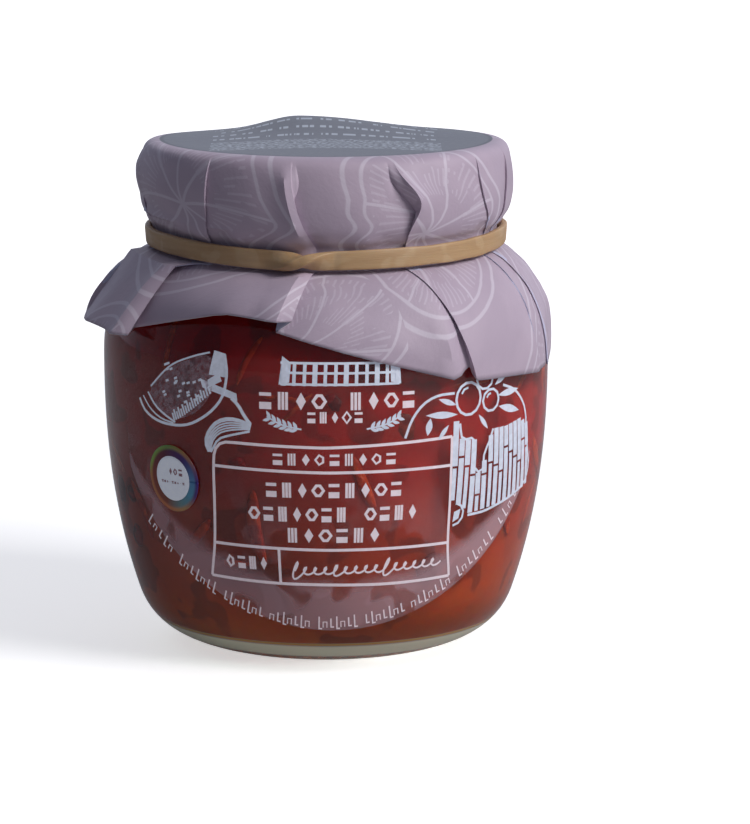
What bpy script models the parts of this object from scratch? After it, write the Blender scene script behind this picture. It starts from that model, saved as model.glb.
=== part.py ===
"""A small jar of marmalade with a paper cover gathered under a rubber band.

The jar is a squat, pot-bellied glass of about 106 ml with a 43 mm twist-off lid. A sheet of printed
paper is folded down over the lid and held round the neck by a flat rubber band, and its pleated
skirt stands over the jar's shoulder. A clear film label lies on the belly with a small round
sticker on it.

The origin is the centre of the base, which is flat there, and +Z is up. The front, the middle of
the label, faces -Y. Azimuths are in degrees from the front, growing towards +X. Lengths in this
file are millimetres, and meshes are written in metres.
"""

import math

import bmesh
import bpy

MM = 0.001
GAP = 0.3  # air between solids that touch on the real jar
SKIN_GAP = 0.2  # air under the thin label and sticker
TURN_STEPS = 44  # facets round the jar and everything turned about its axis

# Glass jar
BELLY_RADIUS = 28.6
BELLY_HEIGHT = 38.0
FOOT_RADIUS = 22.67
FOOT_HEIGHT = 2.69
BELLY_POWER = 2.38
BASE_FLAT_RADIUS = 14.5
NECK_RADIUS = 21.2
SHOULDER_TOP = 49.5
THREAD_RADIUS = 21.9
THREAD_HEIGHT = 58.6
RIM_TOP = 62.7
WALL = 2.2
NECK_BORE_RADIUS = 18.8
BASE_THICKNESS = 3.5
PUSH_UP = 0.5  # rise of the cavity's floor at its centre

# Contents
FILL_HEIGHT = 59.8

# Twist-off lid
LID_RADIUS = 23.0
LID_TOP = 63.6
LID_BOTTOM = 56.0
LID_WALL = 0.6

# Paper cover, outer surface
PAPER_THICKNESS = 0.35
COVER_TOP = 65.0
PRINT_RADIUS = 21.3
DRUM_RADIUS = 23.65
BAND_SEAT_RADIUS = 21.75
BAND_SEAT_TOP = 53.7
BAND_SEAT_BOTTOM = 50.9
TENT_RISE = 1.0
TENT_CENTRE = (-4.0, 7.0)
TENT_SPREAD = (8.0, 12.0)
BACK_SAG = 0.65

# Each pleat: azimuth at the band, azimuth at the rim, azimuth, radius and height of its corner at
# the free edge, and the side that its steep flank faces (1 towards larger azimuths).
PLEATS = [
    (-83.0, -84.0, -75.0, 32.0, 43.7, -1),
    (-57.0, -61.0, -54.0, 30.2, 42.6, 1),
    (-30.0, -31.0, -24.0, 28.9, 46.2, 1),
    (-6.0, -11.0, -10.0, 29.4, 45.4, 1),
    (24.0, 23.0, 32.0, 30.3, 37.9, 1),
    (56.0, 50.0, 57.0, 30.5, 37.2, 1),
    (80.0, 76.0, 82.0, 30.6, 36.6, -1),
    (106.0, 105.0, 109.0, 31.0, 38.4, 1),
    (133.0, 134.0, 131.0, 31.6, 41.2, -1),
    (160.0, 158.0, 162.0, 30.4, 42.6, 1),
    (187.0, 188.0, 185.0, 30.6, 40.8, -1),
    (214.0, 212.0, 216.0, 31.6, 39.4, 1),
    (245.0, 246.0, 246.0, 31.2, 41.4, -1),
]
FLANK_WIDTH = 4.0  # degrees taken by a pleat's steep flank
DRUM_FOLD_DEPTH = 0.75
SKIRT_FOLD_DEPTH = 1.1
VALLEY_SHARE = 0.15  # share of a fold's depth that its valley lies below the plain surface
PANEL_COLUMNS = 2
SKIRT_ROWS = 5
PANEL_FLATTENING = 0.45  # 0 keeps a panel round, 1 makes it a straight chord

# Rubber band
BAND_INNER_RADIUS = 22.25
BAND_THICKNESS = 0.8
BAND_HEIGHT = 2.4
BAND_CENTRE_HEIGHT = 52.3
BAND_EDGE_ROUND = 0.3

# Label film and round sticker
FILM_THICKNESS = 0.2
LABEL_AZIMUTH = 2.5
LABEL_HALF_ANGLE = 63.5
LABEL_TOP = 41.0
LABEL_BOTTOM = 6.2
LABEL_ARC_RADIUS = 36.0
LABEL_CORNER = 7.0
LABEL_ROWS = 8
STICKER_AZIMUTH = -42.5
STICKER_HEIGHT = 24.4
STICKER_RADIUS = 4.3
STICKER_STEPS = 20


def clear_scene():
    """Remove whatever objects the file starts with."""
    for thing in list(bpy.data.objects):
        bpy.data.objects.remove(thing, do_unlink=True)


def material(name, colour, roughness, metallic=0.0, transmission=0.0):
    """Principled material with one colour."""
    made = bpy.data.materials.new(name)
    made.use_nodes = True
    shader = made.node_tree.nodes["Principled BSDF"]
    shader.inputs["Base Color"].default_value = (*colour, 1.0)
    shader.inputs["Roughness"].default_value = roughness
    shader.inputs["Metallic"].default_value = metallic
    shader.inputs["Transmission Weight"].default_value = transmission
    return made


def add_object(name, mesh, finish, sharp_angle=35.0):
    """Link a mesh as a named object, smooth except at its sharp edges."""
    mesh.shade_smooth()
    mesh.set_sharp_from_angle(angle=math.radians(sharp_angle))
    mesh.materials.append(finish)
    made = bpy.data.objects.new(name, mesh)
    bpy.context.scene.collection.objects.link(made)
    return made


def mesh_from(name, bm):
    """Turn a closed bmesh into a mesh with its faces pointing out."""
    bmesh.ops.remove_doubles(bm, verts=bm.verts, dist=0.000002)
    bmesh.ops.recalc_face_normals(bm, faces=bm.faces)
    bmesh.ops.triangulate(bm, faces=[face for face in bm.faces if len(face.verts) > 3])
    mesh = bpy.data.meshes.new(name)
    bm.to_mesh(mesh)
    bm.free()
    return mesh


def place(azimuth, radius, height):
    """A point in metres from its azimuth in degrees, radius and height in millimetres."""
    angle = math.radians(azimuth)
    return (radius * math.sin(angle) * MM, -radius * math.cos(angle) * MM, height * MM)


def turned(name, profile, finish, closed=False):
    """Spin a profile of (radius, height) points about the jar's axis into a closed solid."""
    bm = bmesh.new()
    verts = [bm.verts.new(place(0.0, radius, height)) for radius, height in profile]
    ends = len(verts) if closed else len(verts) - 1
    edges = [bm.edges.new((verts[i], verts[(i + 1) % len(verts)])) for i in range(ends)]
    bmesh.ops.spin(
        bm,
        geom=verts + edges,
        axis=(0.0, 0.0, 1.0),
        cent=(0.0, 0.0, 0.0),
        angle=math.tau,
        steps=TURN_STEPS,
        use_merge=True,
    )
    return add_object(name, mesh_from(name, bm), finish)


def bezier(points, t):
    """Point at t of the Bezier curve with the given control points."""
    while len(points) > 1:
        points = [
            tuple(a + (b - a) * t for a, b in zip(first, second))
            for first, second in zip(points, points[1:])
        ]
    return points[0]


def belly_radius(height):
    """Outer radius of the glass from the foot to the top of the shoulder."""
    if height <= BELLY_HEIGHT:
        drop = (BELLY_HEIGHT - height) / (BELLY_HEIGHT - FOOT_HEIGHT)
        return BELLY_RADIUS - (BELLY_RADIUS - FOOT_RADIUS) * drop**BELLY_POWER
    rise = (height - BELLY_HEIGHT) / (SHOULDER_TOP - BELLY_HEIGHT)
    return NECK_RADIUS + (BELLY_RADIUS - NECK_RADIUS) * math.sqrt(max(0.0, 1.0 - rise * rise))


def body_profile(inset, floor, bore, steps=5):
    """Foot, belly and shoulder as points, drawn in by an inset, rising from floor to bore.

    The foot is a curve that leaves the flat base level and meets the belly in line with it. The
    shoulder is a quarter of an ellipse.
    """
    slope = (belly_radius(FOOT_HEIGHT + 0.1) - FOOT_RADIUS) / 0.1
    foot = (FOOT_RADIUS - inset, FOOT_HEIGHT + floor)
    knee = (foot[0] - slope * FOOT_HEIGHT, floor)
    start = (BASE_FLAT_RADIUS - inset, floor)
    points = [bezier([start, knee, foot], i / 4) for i in range(4)]
    for i in range(steps):
        t = i / steps
        height = FOOT_HEIGHT + (BELLY_HEIGHT - FOOT_HEIGHT) * t
        lift = floor * (1.0 - t)
        points.append((belly_radius(height) - inset, height + lift))
    wide = BELLY_RADIUS - inset
    top = SHOULDER_TOP - 0.3 * inset
    for i in range(steps):
        angle = 0.5 * math.pi * i / (steps - 1)
        radius = bore + (wide - bore) * math.cos(angle)
        points.append((radius, BELLY_HEIGHT + (top - BELLY_HEIGHT) * math.sin(angle)))
    return points


def make_glass_jar():
    """Glass jar: flat base, rounded foot, belly, shoulder, neck with a thread ring, open rim."""
    outside = body_profile(0.0, 0.0, NECK_RADIUS)
    inside = body_profile(WALL, BASE_THICKNESS, NECK_BORE_RADIUS)
    neck = [
        (NECK_RADIUS, THREAD_HEIGHT - 1.2),
        (THREAD_RADIUS, THREAD_HEIGHT - 0.4),
        (THREAD_RADIUS, THREAD_HEIGHT + 0.4),
        (NECK_RADIUS, THREAD_HEIGHT + 1.2),
        (NECK_RADIUS, RIM_TOP - 0.6),
        (NECK_RADIUS - 0.6, RIM_TOP),
        (NECK_BORE_RADIUS + 0.6, RIM_TOP),
        (NECK_BORE_RADIUS, RIM_TOP - 0.6),
    ]
    profile = [(0.0, 0.0)] + outside + neck + inside[::-1] + [(0.0, BASE_THICKNESS + PUSH_UP)]
    glass = material("glass", (0.86, 0.92, 0.90), 0.05, transmission=1.0)
    return turned("glass_jar", profile, glass)


def make_marmalade():
    """Contents: one solid that fills the cavity, a gap clear of the glass, up to its level."""
    sides = body_profile(WALL + GAP, BASE_THICKNESS + GAP, NECK_BORE_RADIUS - GAP, steps=4)
    profile = [(0.0, BASE_THICKNESS + PUSH_UP + GAP)] + sides
    profile += [(NECK_BORE_RADIUS - GAP, FILL_HEIGHT), (0.0, FILL_HEIGHT)]
    return turned("marmalade", profile, material("marmalade", (0.19, 0.02, 0.008), 0.3))


def make_lid():
    """Twist-off lid: a shallow metal cap with a rounded shoulder and a curled lower edge."""
    inner = LID_RADIUS - LID_WALL
    profile = [
        (0.0, LID_TOP),
        (LID_RADIUS - 1.4, LID_TOP),
        (LID_RADIUS - 0.3, LID_TOP - 0.4),
        (LID_RADIUS - 0.05, LID_TOP - 1.4),
        (LID_RADIUS - 0.05, LID_BOTTOM + 0.5),
        (LID_RADIUS, LID_BOTTOM + 0.2),
        (LID_RADIUS - 0.2, LID_BOTTOM),
        (inner, LID_BOTTOM),
        (inner, LID_TOP - 1.4),
        (LID_RADIUS - 1.6, LID_TOP - LID_WALL),
        (0.0, LID_TOP - LID_WALL),
    ]
    return turned("lid", profile, material("lid_metal", (0.72, 0.66, 0.50), 0.3, metallic=1.0))


def top_height(x, y):
    """Height of the paper over the lid: a soft tent behind the centre, and a low back rim."""
    across = (x - TENT_CENTRE[0]) / TENT_SPREAD[0]
    along = (y - TENT_CENTRE[1]) / TENT_SPREAD[1]
    tent = TENT_RISE * math.exp(-across * across - along * along)
    sag = BACK_SAG * min(1.0, max(0.0, y / DRUM_RADIUS)) ** 2
    return COVER_TOP + tent - sag


def drum_rings():
    """Rings of the paper from the printed circle to the band, as (radius, drop below the top)."""
    return [
        (PRINT_RADIUS, 0.0),
        (DRUM_RADIUS - 1.1, 0.25),
        (DRUM_RADIUS - 0.25, 1.15),
        (DRUM_RADIUS, 3.0),
        (DRUM_RADIUS + 0.1, 6.0),
        (DRUM_RADIUS, COVER_TOP - LID_BOTTOM + 0.2),
        (BAND_SEAT_RADIUS + 0.75, COVER_TOP - BAND_SEAT_TOP - 0.6),
        (BAND_SEAT_RADIUS, COVER_TOP - BAND_SEAT_TOP),
        (BAND_SEAT_RADIUS, COVER_TOP - BAND_SEAT_BOTTOM),
    ]


def cover_columns():
    """Columns round the cover: each pleat's crest and valley, then the panel to the next pleat.

    A column is (pleat, next pleat, share of the way between them, stand), where stand is 1 on a
    crest, 0 in a valley and in between on a panel.
    """
    columns = []
    count = len(PLEATS)
    for i, pleat in enumerate(PLEATS):
        following = PLEATS[(i + 1) % count]
        flank = FLANK_WIDTH / 2.0
        first, second = (1.0, 0.0) if pleat[5] > 0 else (0.0, 1.0)
        next_stand = 1.0 if following[5] > 0 else 0.0
        columns.append((i, 0.0, -flank, first))
        columns.append((i, 0.0, flank, second))
        for j in range(1, PANEL_COLUMNS + 1):
            share = j / (PANEL_COLUMNS + 1)
            stand = second + (next_stand - second) * share
            columns.append((i, share, flank * (1.0 - 2.0 * share), stand))
    return columns


def pleat_value(i, share, which):
    """A pleat's number, shared with the next pleat's; an azimuth goes on past the full turn."""
    count = len(PLEATS)
    here = PLEATS[i][which]
    there = PLEATS[(i + 1) % count][which]
    if which < 3 and i + 1 == count:
        there += 360.0
    return here + (there - here) * share


def panel_chord(i, share):
    """Share of the radius that a panel keeps where it is flattened between its two pleats."""
    width = math.radians(pleat_value(i, 1.0, 0) - pleat_value(i, 0.0, 0))
    chord = math.cos(width / 2.0) / math.cos(width * (share - 0.5))
    return 1.0 + (chord - 1.0) * PANEL_FLATTENING


def skirt_point(i, share, t):
    """Radius and height of the skirt at t from the band, 0, to the free edge, 1.

    The line leaves the band outwards, bends over the shoulder and runs down to the edge. A short
    panel stands away from the glass and a long one hangs along it.
    """
    radius = pleat_value(i, share, 3) * panel_chord(i, share)
    height = pleat_value(i, share, 4)
    length = BAND_SEAT_BOTTOM - height
    start = (BAND_SEAT_RADIUS, BAND_SEAT_BOTTOM)
    leave = (BAND_SEAT_RADIUS + 0.26 * length, BAND_SEAT_BOTTOM - 0.12 * length)
    arrive = (radius + 0.25 - 0.22 * max(0.0, 10.0 - length), height + 0.55 * length)
    return bezier([start, leave, arrive, (radius, height)], t)


def make_paper_cover():
    """Pleated paper: a flat top, a drum round the lid, a seat for the band and a flared skirt."""
    bm = bmesh.new()
    columns = cover_columns()
    rings = drum_rings()
    pole = bm.verts.new((0.0, 0.0, top_height(0.0, 0.0) * MM))
    rows = []
    for radius in (PRINT_RADIUS * 0.36, PRINT_RADIUS * 0.7):
        row = []
        for i, share, shift, stand in columns:
            azimuth = pleat_value(i, share, 1) + shift
            x, y, z = place(azimuth, radius, 0.0)
            row.append(bm.verts.new((x, y, top_height(x / MM, y / MM) * MM)))
        rows.append(row)
    for index, (radius, drop) in enumerate(rings):
        down = min(1.0, drop / (COVER_TOP - BAND_SEAT_TOP))
        on_band_seat = index >= len(rings) - 2
        depth = DRUM_FOLD_DEPTH * min(1.0, drop / 4.0) * (0.3 if on_band_seat else 1.0)
        row = []
        for i, share, shift, stand in columns:
            rim = pleat_value(i, share, 1)
            azimuth = rim + (pleat_value(i, share, 0) - rim) * down + shift
            x, y, z = place(azimuth, radius + depth * (stand - VALLEY_SHARE), 0.0)
            height = COVER_TOP - drop + (top_height(x / MM, y / MM) - COVER_TOP) * (1.0 - down)
            row.append(bm.verts.new((x, y, height * MM)))
        rows.append(row)
    for step in range(1, SKIRT_ROWS + 1):
        t = step / SKIRT_ROWS
        row = []
        for i, share, shift, stand in columns:
            radius, height = skirt_point(i, share, t)
            band = pleat_value(i, share, 0)
            azimuth = band + (pleat_value(i, share, 2) - band) * t + shift
            fold = SKIRT_FOLD_DEPTH * (0.2 + 0.8 * t) * (stand - VALLEY_SHARE)
            row.append(bm.verts.new(place(azimuth, radius + fold, height)))
        rows.append(row)
    count = len(columns)
    for j in range(count):
        bm.faces.new((pole, rows[0][j], rows[0][(j + 1) % count]))
    for upper, lower in zip(rows, rows[1:]):
        for j in range(count):
            k = (j + 1) % count
            bm.faces.new((upper[j], lower[j], lower[k], upper[k]))
    mesh = mesh_from("paper_cover", bm)
    cover = add_object("paper_cover", mesh, material("paper", (0.47, 0.42, 0.50), 0.6), 25.0)
    thickness = cover.modifiers.new("thickness", "SOLIDIFY")
    thickness.thickness = PAPER_THICKNESS * MM
    thickness.offset = -1.0
    return cover


def make_rubber_band():
    """Flat rubber band: a ring with a rounded rectangular section."""
    inner = BAND_INNER_RADIUS
    outer = BAND_INNER_RADIUS + BAND_THICKNESS
    low = BAND_CENTRE_HEIGHT - BAND_HEIGHT / 2.0
    high = BAND_CENTRE_HEIGHT + BAND_HEIGHT / 2.0
    profile = [
        (inner, low),
        (outer - BAND_EDGE_ROUND, low),
        (outer, low + BAND_EDGE_ROUND),
        (outer, high - BAND_EDGE_ROUND),
        (outer - BAND_EDGE_ROUND, high),
        (inner, high),
    ]
    rubber = material("rubber", (0.46, 0.27, 0.16), 0.55)
    return turned("rubber_band", profile, rubber, closed=True)


def skin(name, rows, stand_off, finish):
    """Thin closed skin over the belly from a grid of (azimuth, height), stand_off mm clear of it."""
    bm = bmesh.new()
    layers = []
    for lift in (stand_off, stand_off + FILM_THICKNESS):
        layer = []
        for row in rows:
            points = [place(azimuth, belly_radius(z) + lift, z) for azimuth, z in row]
            layer.append([bm.verts.new(point) for point in points])
        layers.append(layer)
    inner, outer = layers
    last_row, last_column = len(rows) - 1, len(rows[0]) - 1
    for layer in layers:
        for i in range(last_row):
            for j in range(last_column):
                corners = (layer[i][j], layer[i][j + 1], layer[i + 1][j + 1], layer[i + 1][j])
                bm.faces.new(corners)
    rim = [(0, j) for j in range(last_column)] + [(i, last_column) for i in range(last_row)]
    rim += [(last_row, j) for j in range(last_column, 0, -1)]
    rim += [(i, 0) for i in range(last_row, 0, -1)]
    for (i, j), (k, m) in zip(rim, rim[1:] + rim[:1]):
        bm.faces.new((inner[i][j], inner[k][m], outer[k][m], outer[i][j]))
    return add_object(name, mesh_from(name, bm), finish)


def make_clear_label():
    """Clear film on the belly: a level top edge and a lower edge that rises as a circle's arc."""
    step = 360.0 / TURN_STEPS
    left, right = LABEL_AZIMUTH - LABEL_HALF_ANGLE, LABEL_AZIMUTH + LABEL_HALF_ANGLE
    facets = [step * i for i in range(math.ceil(left / step), math.floor(right / step) + 1)]
    columns = []
    for azimuth in [left] + facets + [right]:
        along = abs(math.radians(azimuth - LABEL_AZIMUTH)) * BELLY_RADIUS
        rise = LABEL_ARC_RADIUS - math.sqrt(LABEL_ARC_RADIUS**2 - along**2)
        side = math.radians(LABEL_HALF_ANGLE) * BELLY_RADIUS
        into_corner = max(0.0, along - (side - LABEL_CORNER))
        drop = LABEL_CORNER - math.sqrt(LABEL_CORNER**2 - 0.9 * into_corner**2)
        low, high = LABEL_BOTTOM + rise, LABEL_TOP - drop
        columns.append([(azimuth, low + (high - low) * i / LABEL_ROWS) for i in range(LABEL_ROWS + 1)])
    film = material("film", (0.80, 0.74, 0.76), 0.2, transmission=0.8)
    return skin("clear_label", columns, SKIN_GAP, film)


def make_round_sticker():
    """Round sticker on the film, curved with the belly, as a disc of one centre and two rings."""
    bm = bmesh.new()
    layers = []
    for lift in (2 * SKIN_GAP + FILM_THICKNESS, 2 * SKIN_GAP + 2 * FILM_THICKNESS):
        centre_radius = belly_radius(STICKER_HEIGHT)
        layer = [bm.verts.new(place(STICKER_AZIMUTH, centre_radius + lift, STICKER_HEIGHT))]
        for share in (0.5, 1.0):
            for k in range(STICKER_STEPS):
                angle = math.tau * k / STICKER_STEPS
                across = STICKER_RADIUS * share * math.cos(angle)
                height = STICKER_HEIGHT + STICKER_RADIUS * share * math.sin(angle)
                azimuth = STICKER_AZIMUTH + math.degrees(across / centre_radius)
                layer.append(bm.verts.new(place(azimuth, belly_radius(height) + lift, height)))
        layers.append(layer)
    for layer in layers:
        for k in range(STICKER_STEPS):
            after = (k + 1) % STICKER_STEPS
            bm.faces.new((layer[0], layer[1 + k], layer[1 + after]))
            outer, outer_after = layer[1 + STICKER_STEPS + k], layer[1 + STICKER_STEPS + after]
            bm.faces.new((layer[1 + k], outer, outer_after, layer[1 + after]))
    inner, outer = layers
    for k in range(STICKER_STEPS):
        here, after = 1 + STICKER_STEPS + k, 1 + STICKER_STEPS + (k + 1) % STICKER_STEPS
        bm.faces.new((inner[here], inner[after], outer[after], outer[here]))
    paper = material("sticker", (0.62, 0.68, 0.76), 0.35)
    return add_object("round_sticker", mesh_from("round_sticker", bm), paper)


def main():
    """Build every piece of the jar."""
    clear_scene()
    make_glass_jar()
    make_marmalade()
    make_lid()
    make_paper_cover()
    make_rubber_band()
    make_clear_label()
    make_round_sticker()


main()
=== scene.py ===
"""Looks of a small pot-bellied jar of marmalade with a printed paper cover under a rubber band.

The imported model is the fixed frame. Each sub-assembly is a class that holds its sizes, works out
its surfaces with numpy and dresses them. Sizes are millimetres, azimuths are degrees from the
front, which faces -Y, growing towards +X, and meshes are written in metres.
"""

import logging
import math
from collections.abc import Callable
from dataclasses import dataclass, field
from enum import Enum

import bmesh
import bpy
import numpy as np
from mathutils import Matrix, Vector


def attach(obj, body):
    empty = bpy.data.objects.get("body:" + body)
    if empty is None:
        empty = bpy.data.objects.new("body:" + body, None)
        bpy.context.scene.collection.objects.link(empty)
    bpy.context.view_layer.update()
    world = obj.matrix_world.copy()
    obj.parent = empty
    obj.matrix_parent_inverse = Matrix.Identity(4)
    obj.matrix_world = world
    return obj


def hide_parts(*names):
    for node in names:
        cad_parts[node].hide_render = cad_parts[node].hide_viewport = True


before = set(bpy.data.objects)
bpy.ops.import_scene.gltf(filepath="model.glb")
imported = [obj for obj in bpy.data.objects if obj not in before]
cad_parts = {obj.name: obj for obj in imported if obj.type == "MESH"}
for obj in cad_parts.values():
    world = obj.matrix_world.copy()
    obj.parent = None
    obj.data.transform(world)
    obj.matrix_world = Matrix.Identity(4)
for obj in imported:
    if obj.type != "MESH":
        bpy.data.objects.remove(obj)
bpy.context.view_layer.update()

MM = 0.001
Array = np.ndarray
Colour = tuple[float, float, float]
log = logging.getLogger("jar")


# ---------------------------------------------------------------- surfaces


def srgb(red: float, green: float, blue: float) -> Colour:
    """Turn a display colour from 0 to 255 into the linear colour that shaders use.

    Args:
        red, green, blue: display values.

    Returns:
        The linear colour.
    """
    parts = np.array([red, green, blue]) / 255.0
    linear = np.where(parts <= 0.04045, parts / 12.92, ((parts + 0.055) / 1.055) ** 2.4)
    return tuple(float(part) for part in linear)


def place(azimuth: Array, radius: Array, height: Array) -> Array:
    """Points in millimetres: x = r sin a, y = -r cos a, z = height.

    Args:
        azimuth: degrees from the front.
        radius: distance from the jar's axis.
        height: height above the base.

    Returns:
        Array of points, with x, y and z last.
    """
    angle, radius, height = np.broadcast_arrays(np.radians(azimuth), radius, height)
    return np.stack([radius * np.sin(angle), -radius * np.cos(angle), height], axis=-1)


def smoothstep(value: Array) -> Array:
    """Ease from 0 to 1: 3t^2 - 2t^3 of the value held between 0 and 1."""
    t = np.clip(value, 0.0, 1.0)
    return t * t * (3.0 - 2.0 * t)


def bump(value: Array, centre: float, width: float) -> Array:
    """Bell of height 1 round a centre: exp(-((v - c) / w)^2)."""
    return np.exp(-(((value - centre) / width) ** 2))


def lattice_noise(x: Array, y: Array, seed: float) -> Array:
    """Smooth noise from -1 to 1: hashed values on a unit lattice, blended by smoothstep.

    Args:
        x, y: where to read it, in cells.
        seed: number that picks one pattern.

    Returns:
        The noise at each place.
    """
    cell_x, cell_y = np.floor(x), np.floor(y)
    across, along = smoothstep(x - cell_x), smoothstep(y - cell_y)

    def corner(right: int, up: int) -> Array:
        """Hashed value at one corner of each cell."""
        mixed = np.sin((cell_x + right) * 127.1 + (cell_y + up) * 311.7 + seed * 74.7) * 43758.5453
        return 2.0 * (mixed - np.floor(mixed)) - 1.0

    low = corner(0, 0) * (1.0 - across) + corner(1, 0) * across
    high = corner(0, 1) * (1.0 - across) + corner(1, 1) * across
    return low * (1.0 - along) + high * along


def smooth_line(points: Array, steps: int) -> Array:
    """Catmull-Rom curve through points: each span is the cubic whose end slopes are half the
    difference of the neighbours.

    Args:
        points: control points, one a row.
        steps: samples for each span.

    Returns:
        The sampled curve, ends included.
    """
    points = np.asarray(points, float)
    padded = np.vstack([2 * points[0] - points[1], points, 2 * points[-1] - points[-2]])
    t = (np.arange(steps) / steps)[None, :, None]
    p0, p1, p2, p3 = (padded[i : len(padded) - 3 + i][:, None, :] for i in range(4))
    curve = 0.5 * (
        2 * p1
        + (p2 - p0) * t
        + (2 * p0 - 5 * p1 + 4 * p2 - p3) * t**2
        + (3 * p1 - p0 - 3 * p2 + p3) * t**3
    )
    return np.vstack([curve.reshape(-1, points.shape[1]), points[-1:]])


def evenly(points: Array, spacing: float) -> Array:
    """Points along a polyline at equal distances no longer than the spacing.

    Args:
        points: the polyline's corners.
        spacing: longest step.

    Returns:
        The new points, ends included.
    """
    points = np.asarray(points, float)
    travelled = np.concatenate([[0.0], np.cumsum(np.linalg.norm(np.diff(points, axis=0), axis=1))])
    count = max(2, int(math.ceil(travelled[-1] / spacing)) + 1)
    wanted = np.linspace(0.0, travelled[-1], count)
    return np.stack([np.interp(wanted, travelled, points[:, k]) for k in range(2)], axis=-1)


class Surface:
    """Collects grids of points and turns them into one mesh."""

    def __init__(self) -> None:
        self.points: list[Array] = []
        self.faces: list[list[int]] = []
        self.flat: list[Array] = []
        self.count = 0

    def grid(
        self,
        points: Array,
        wrap_rows: bool = False,
        wrap_columns: bool = False,
        flat: Array | None = None,
        poles: tuple[bool, bool] = (False, False),
    ) -> None:
        """Add a grid of points joined by four-sided faces.

        Args:
            points: rows by columns by 3.
            wrap_rows: join the last row to the first.
            wrap_columns: join the last column to the first.
            flat: rows by columns by 2, the UV place of each point.
            poles: close the first and the last row with a point at their middle.
        """
        rows, columns = points.shape[:2]
        i = np.arange(rows if wrap_rows else rows - 1)
        j = np.arange(columns if wrap_columns else columns - 1)
        i, j = np.meshgrid(i, j, indexing="ij")
        below, beside = (i + 1) % rows, (j + 1) % columns
        corners = [i * columns + j, below * columns + j, below * columns + beside, i * columns + beside]
        start = self.count
        self.faces += (np.stack(corners, axis=-1).reshape(-1, 4) + start).tolist()
        self.points.append(points.reshape(-1, 3))
        self.count += rows * columns
        if flat is not None:
            self.flat.append(flat.reshape(-1, 2))
        for wanted, row, turn in ((poles[0], 0, 1), (poles[1], rows - 1, -1)):
            if wanted:
                ring = start + row * columns + np.arange(columns)
                fan = np.stack([np.full(columns, self.count), ring, np.roll(ring, -1)], axis=-1)
                self.faces += fan[:, ::turn].tolist()
                self.points.append(points[row].mean(axis=0)[None])
                if flat is not None:
                    self.flat.append(flat[row].mean(axis=0)[None])
                self.count += 1

    def mesh(self, name: str, recalculate: bool = True) -> bpy.types.Mesh:
        """Write the mesh, in metres.

        Args:
            name: name of the mesh.
            recalculate: turn all faces outwards, for closed shapes.

        Returns:
            The mesh.
        """
        made = bpy.data.meshes.new(name)
        made.from_pydata((np.vstack(self.points) * MM).tolist(), [], self.faces)
        if self.flat:
            layer = made.uv_layers.new(name="UVMap")
            index = np.zeros(len(made.loops), np.int32)
            made.loops.foreach_get("vertex_index", index)
            layer.data.foreach_set("uv", np.vstack(self.flat)[index].astype(np.float32).ravel())
        if recalculate:
            work = bmesh.new()
            work.from_mesh(made)
            bmesh.ops.recalc_face_normals(work, faces=work.faces)
            work.to_mesh(made)
            work.free()
        return made


class Slot(Enum):
    """Material slots of the record that the pieces here take."""

    GLASS = "clear_glass"
    FILL = "marmalade"
    PAPER = "printed_paper"
    RUBBER = "rubber"
    FILM = "label_film"
    STICKER = "sticker"


def add_piece(
    name: str,
    mesh: bpy.types.Mesh,
    materials: list[bpy.types.Material],
    replaces: tuple[str, ...] = (),
    sharp: float | None = None,
    smooth: bool = True,
) -> bpy.types.Object:
    """Make a visible piece that rides on the jar.

    Args:
        name: name of the piece.
        mesh: its mesh, in place.
        materials: its materials, the first one used by its faces.
        replaces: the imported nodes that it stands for.
        sharp: angle in degrees past which an edge stays sharp.
        smooth: shade it as a smooth surface.

    Returns:
        The piece.
    """
    if smooth:
        mesh.shade_smooth()
    if sharp is not None:
        mesh.set_sharp_from_angle(angle=math.radians(sharp))
    for material in materials:
        mesh.materials.append(material)
    piece = bpy.data.objects.new(name, mesh)
    bpy.context.scene.collection.objects.link(piece)
    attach(piece, "root")
    if replaces:
        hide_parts(*replaces)
    log.info("%s: %d faces", name, len(mesh.polygons))
    return piece


def add_wall(piece: bpy.types.Object, thickness: float, offset: float, inner: int = 0, rim: int = 0) -> None:
    """Give an open surface its thickness.

    Args:
        piece: the piece.
        thickness: millimetres.
        offset: -1 grows inwards, 1 outwards.
        inner: how many slots further the inner side's material is.
        rim: how many slots further the cut edge's material is.
    """
    wall = piece.modifiers.new("thickness", "SOLIDIFY")
    wall.thickness = thickness * MM
    wall.offset = offset
    wall.material_offset = inner
    wall.material_offset_rim = rim


# ---------------------------------------------------------------- shader nodes


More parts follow.
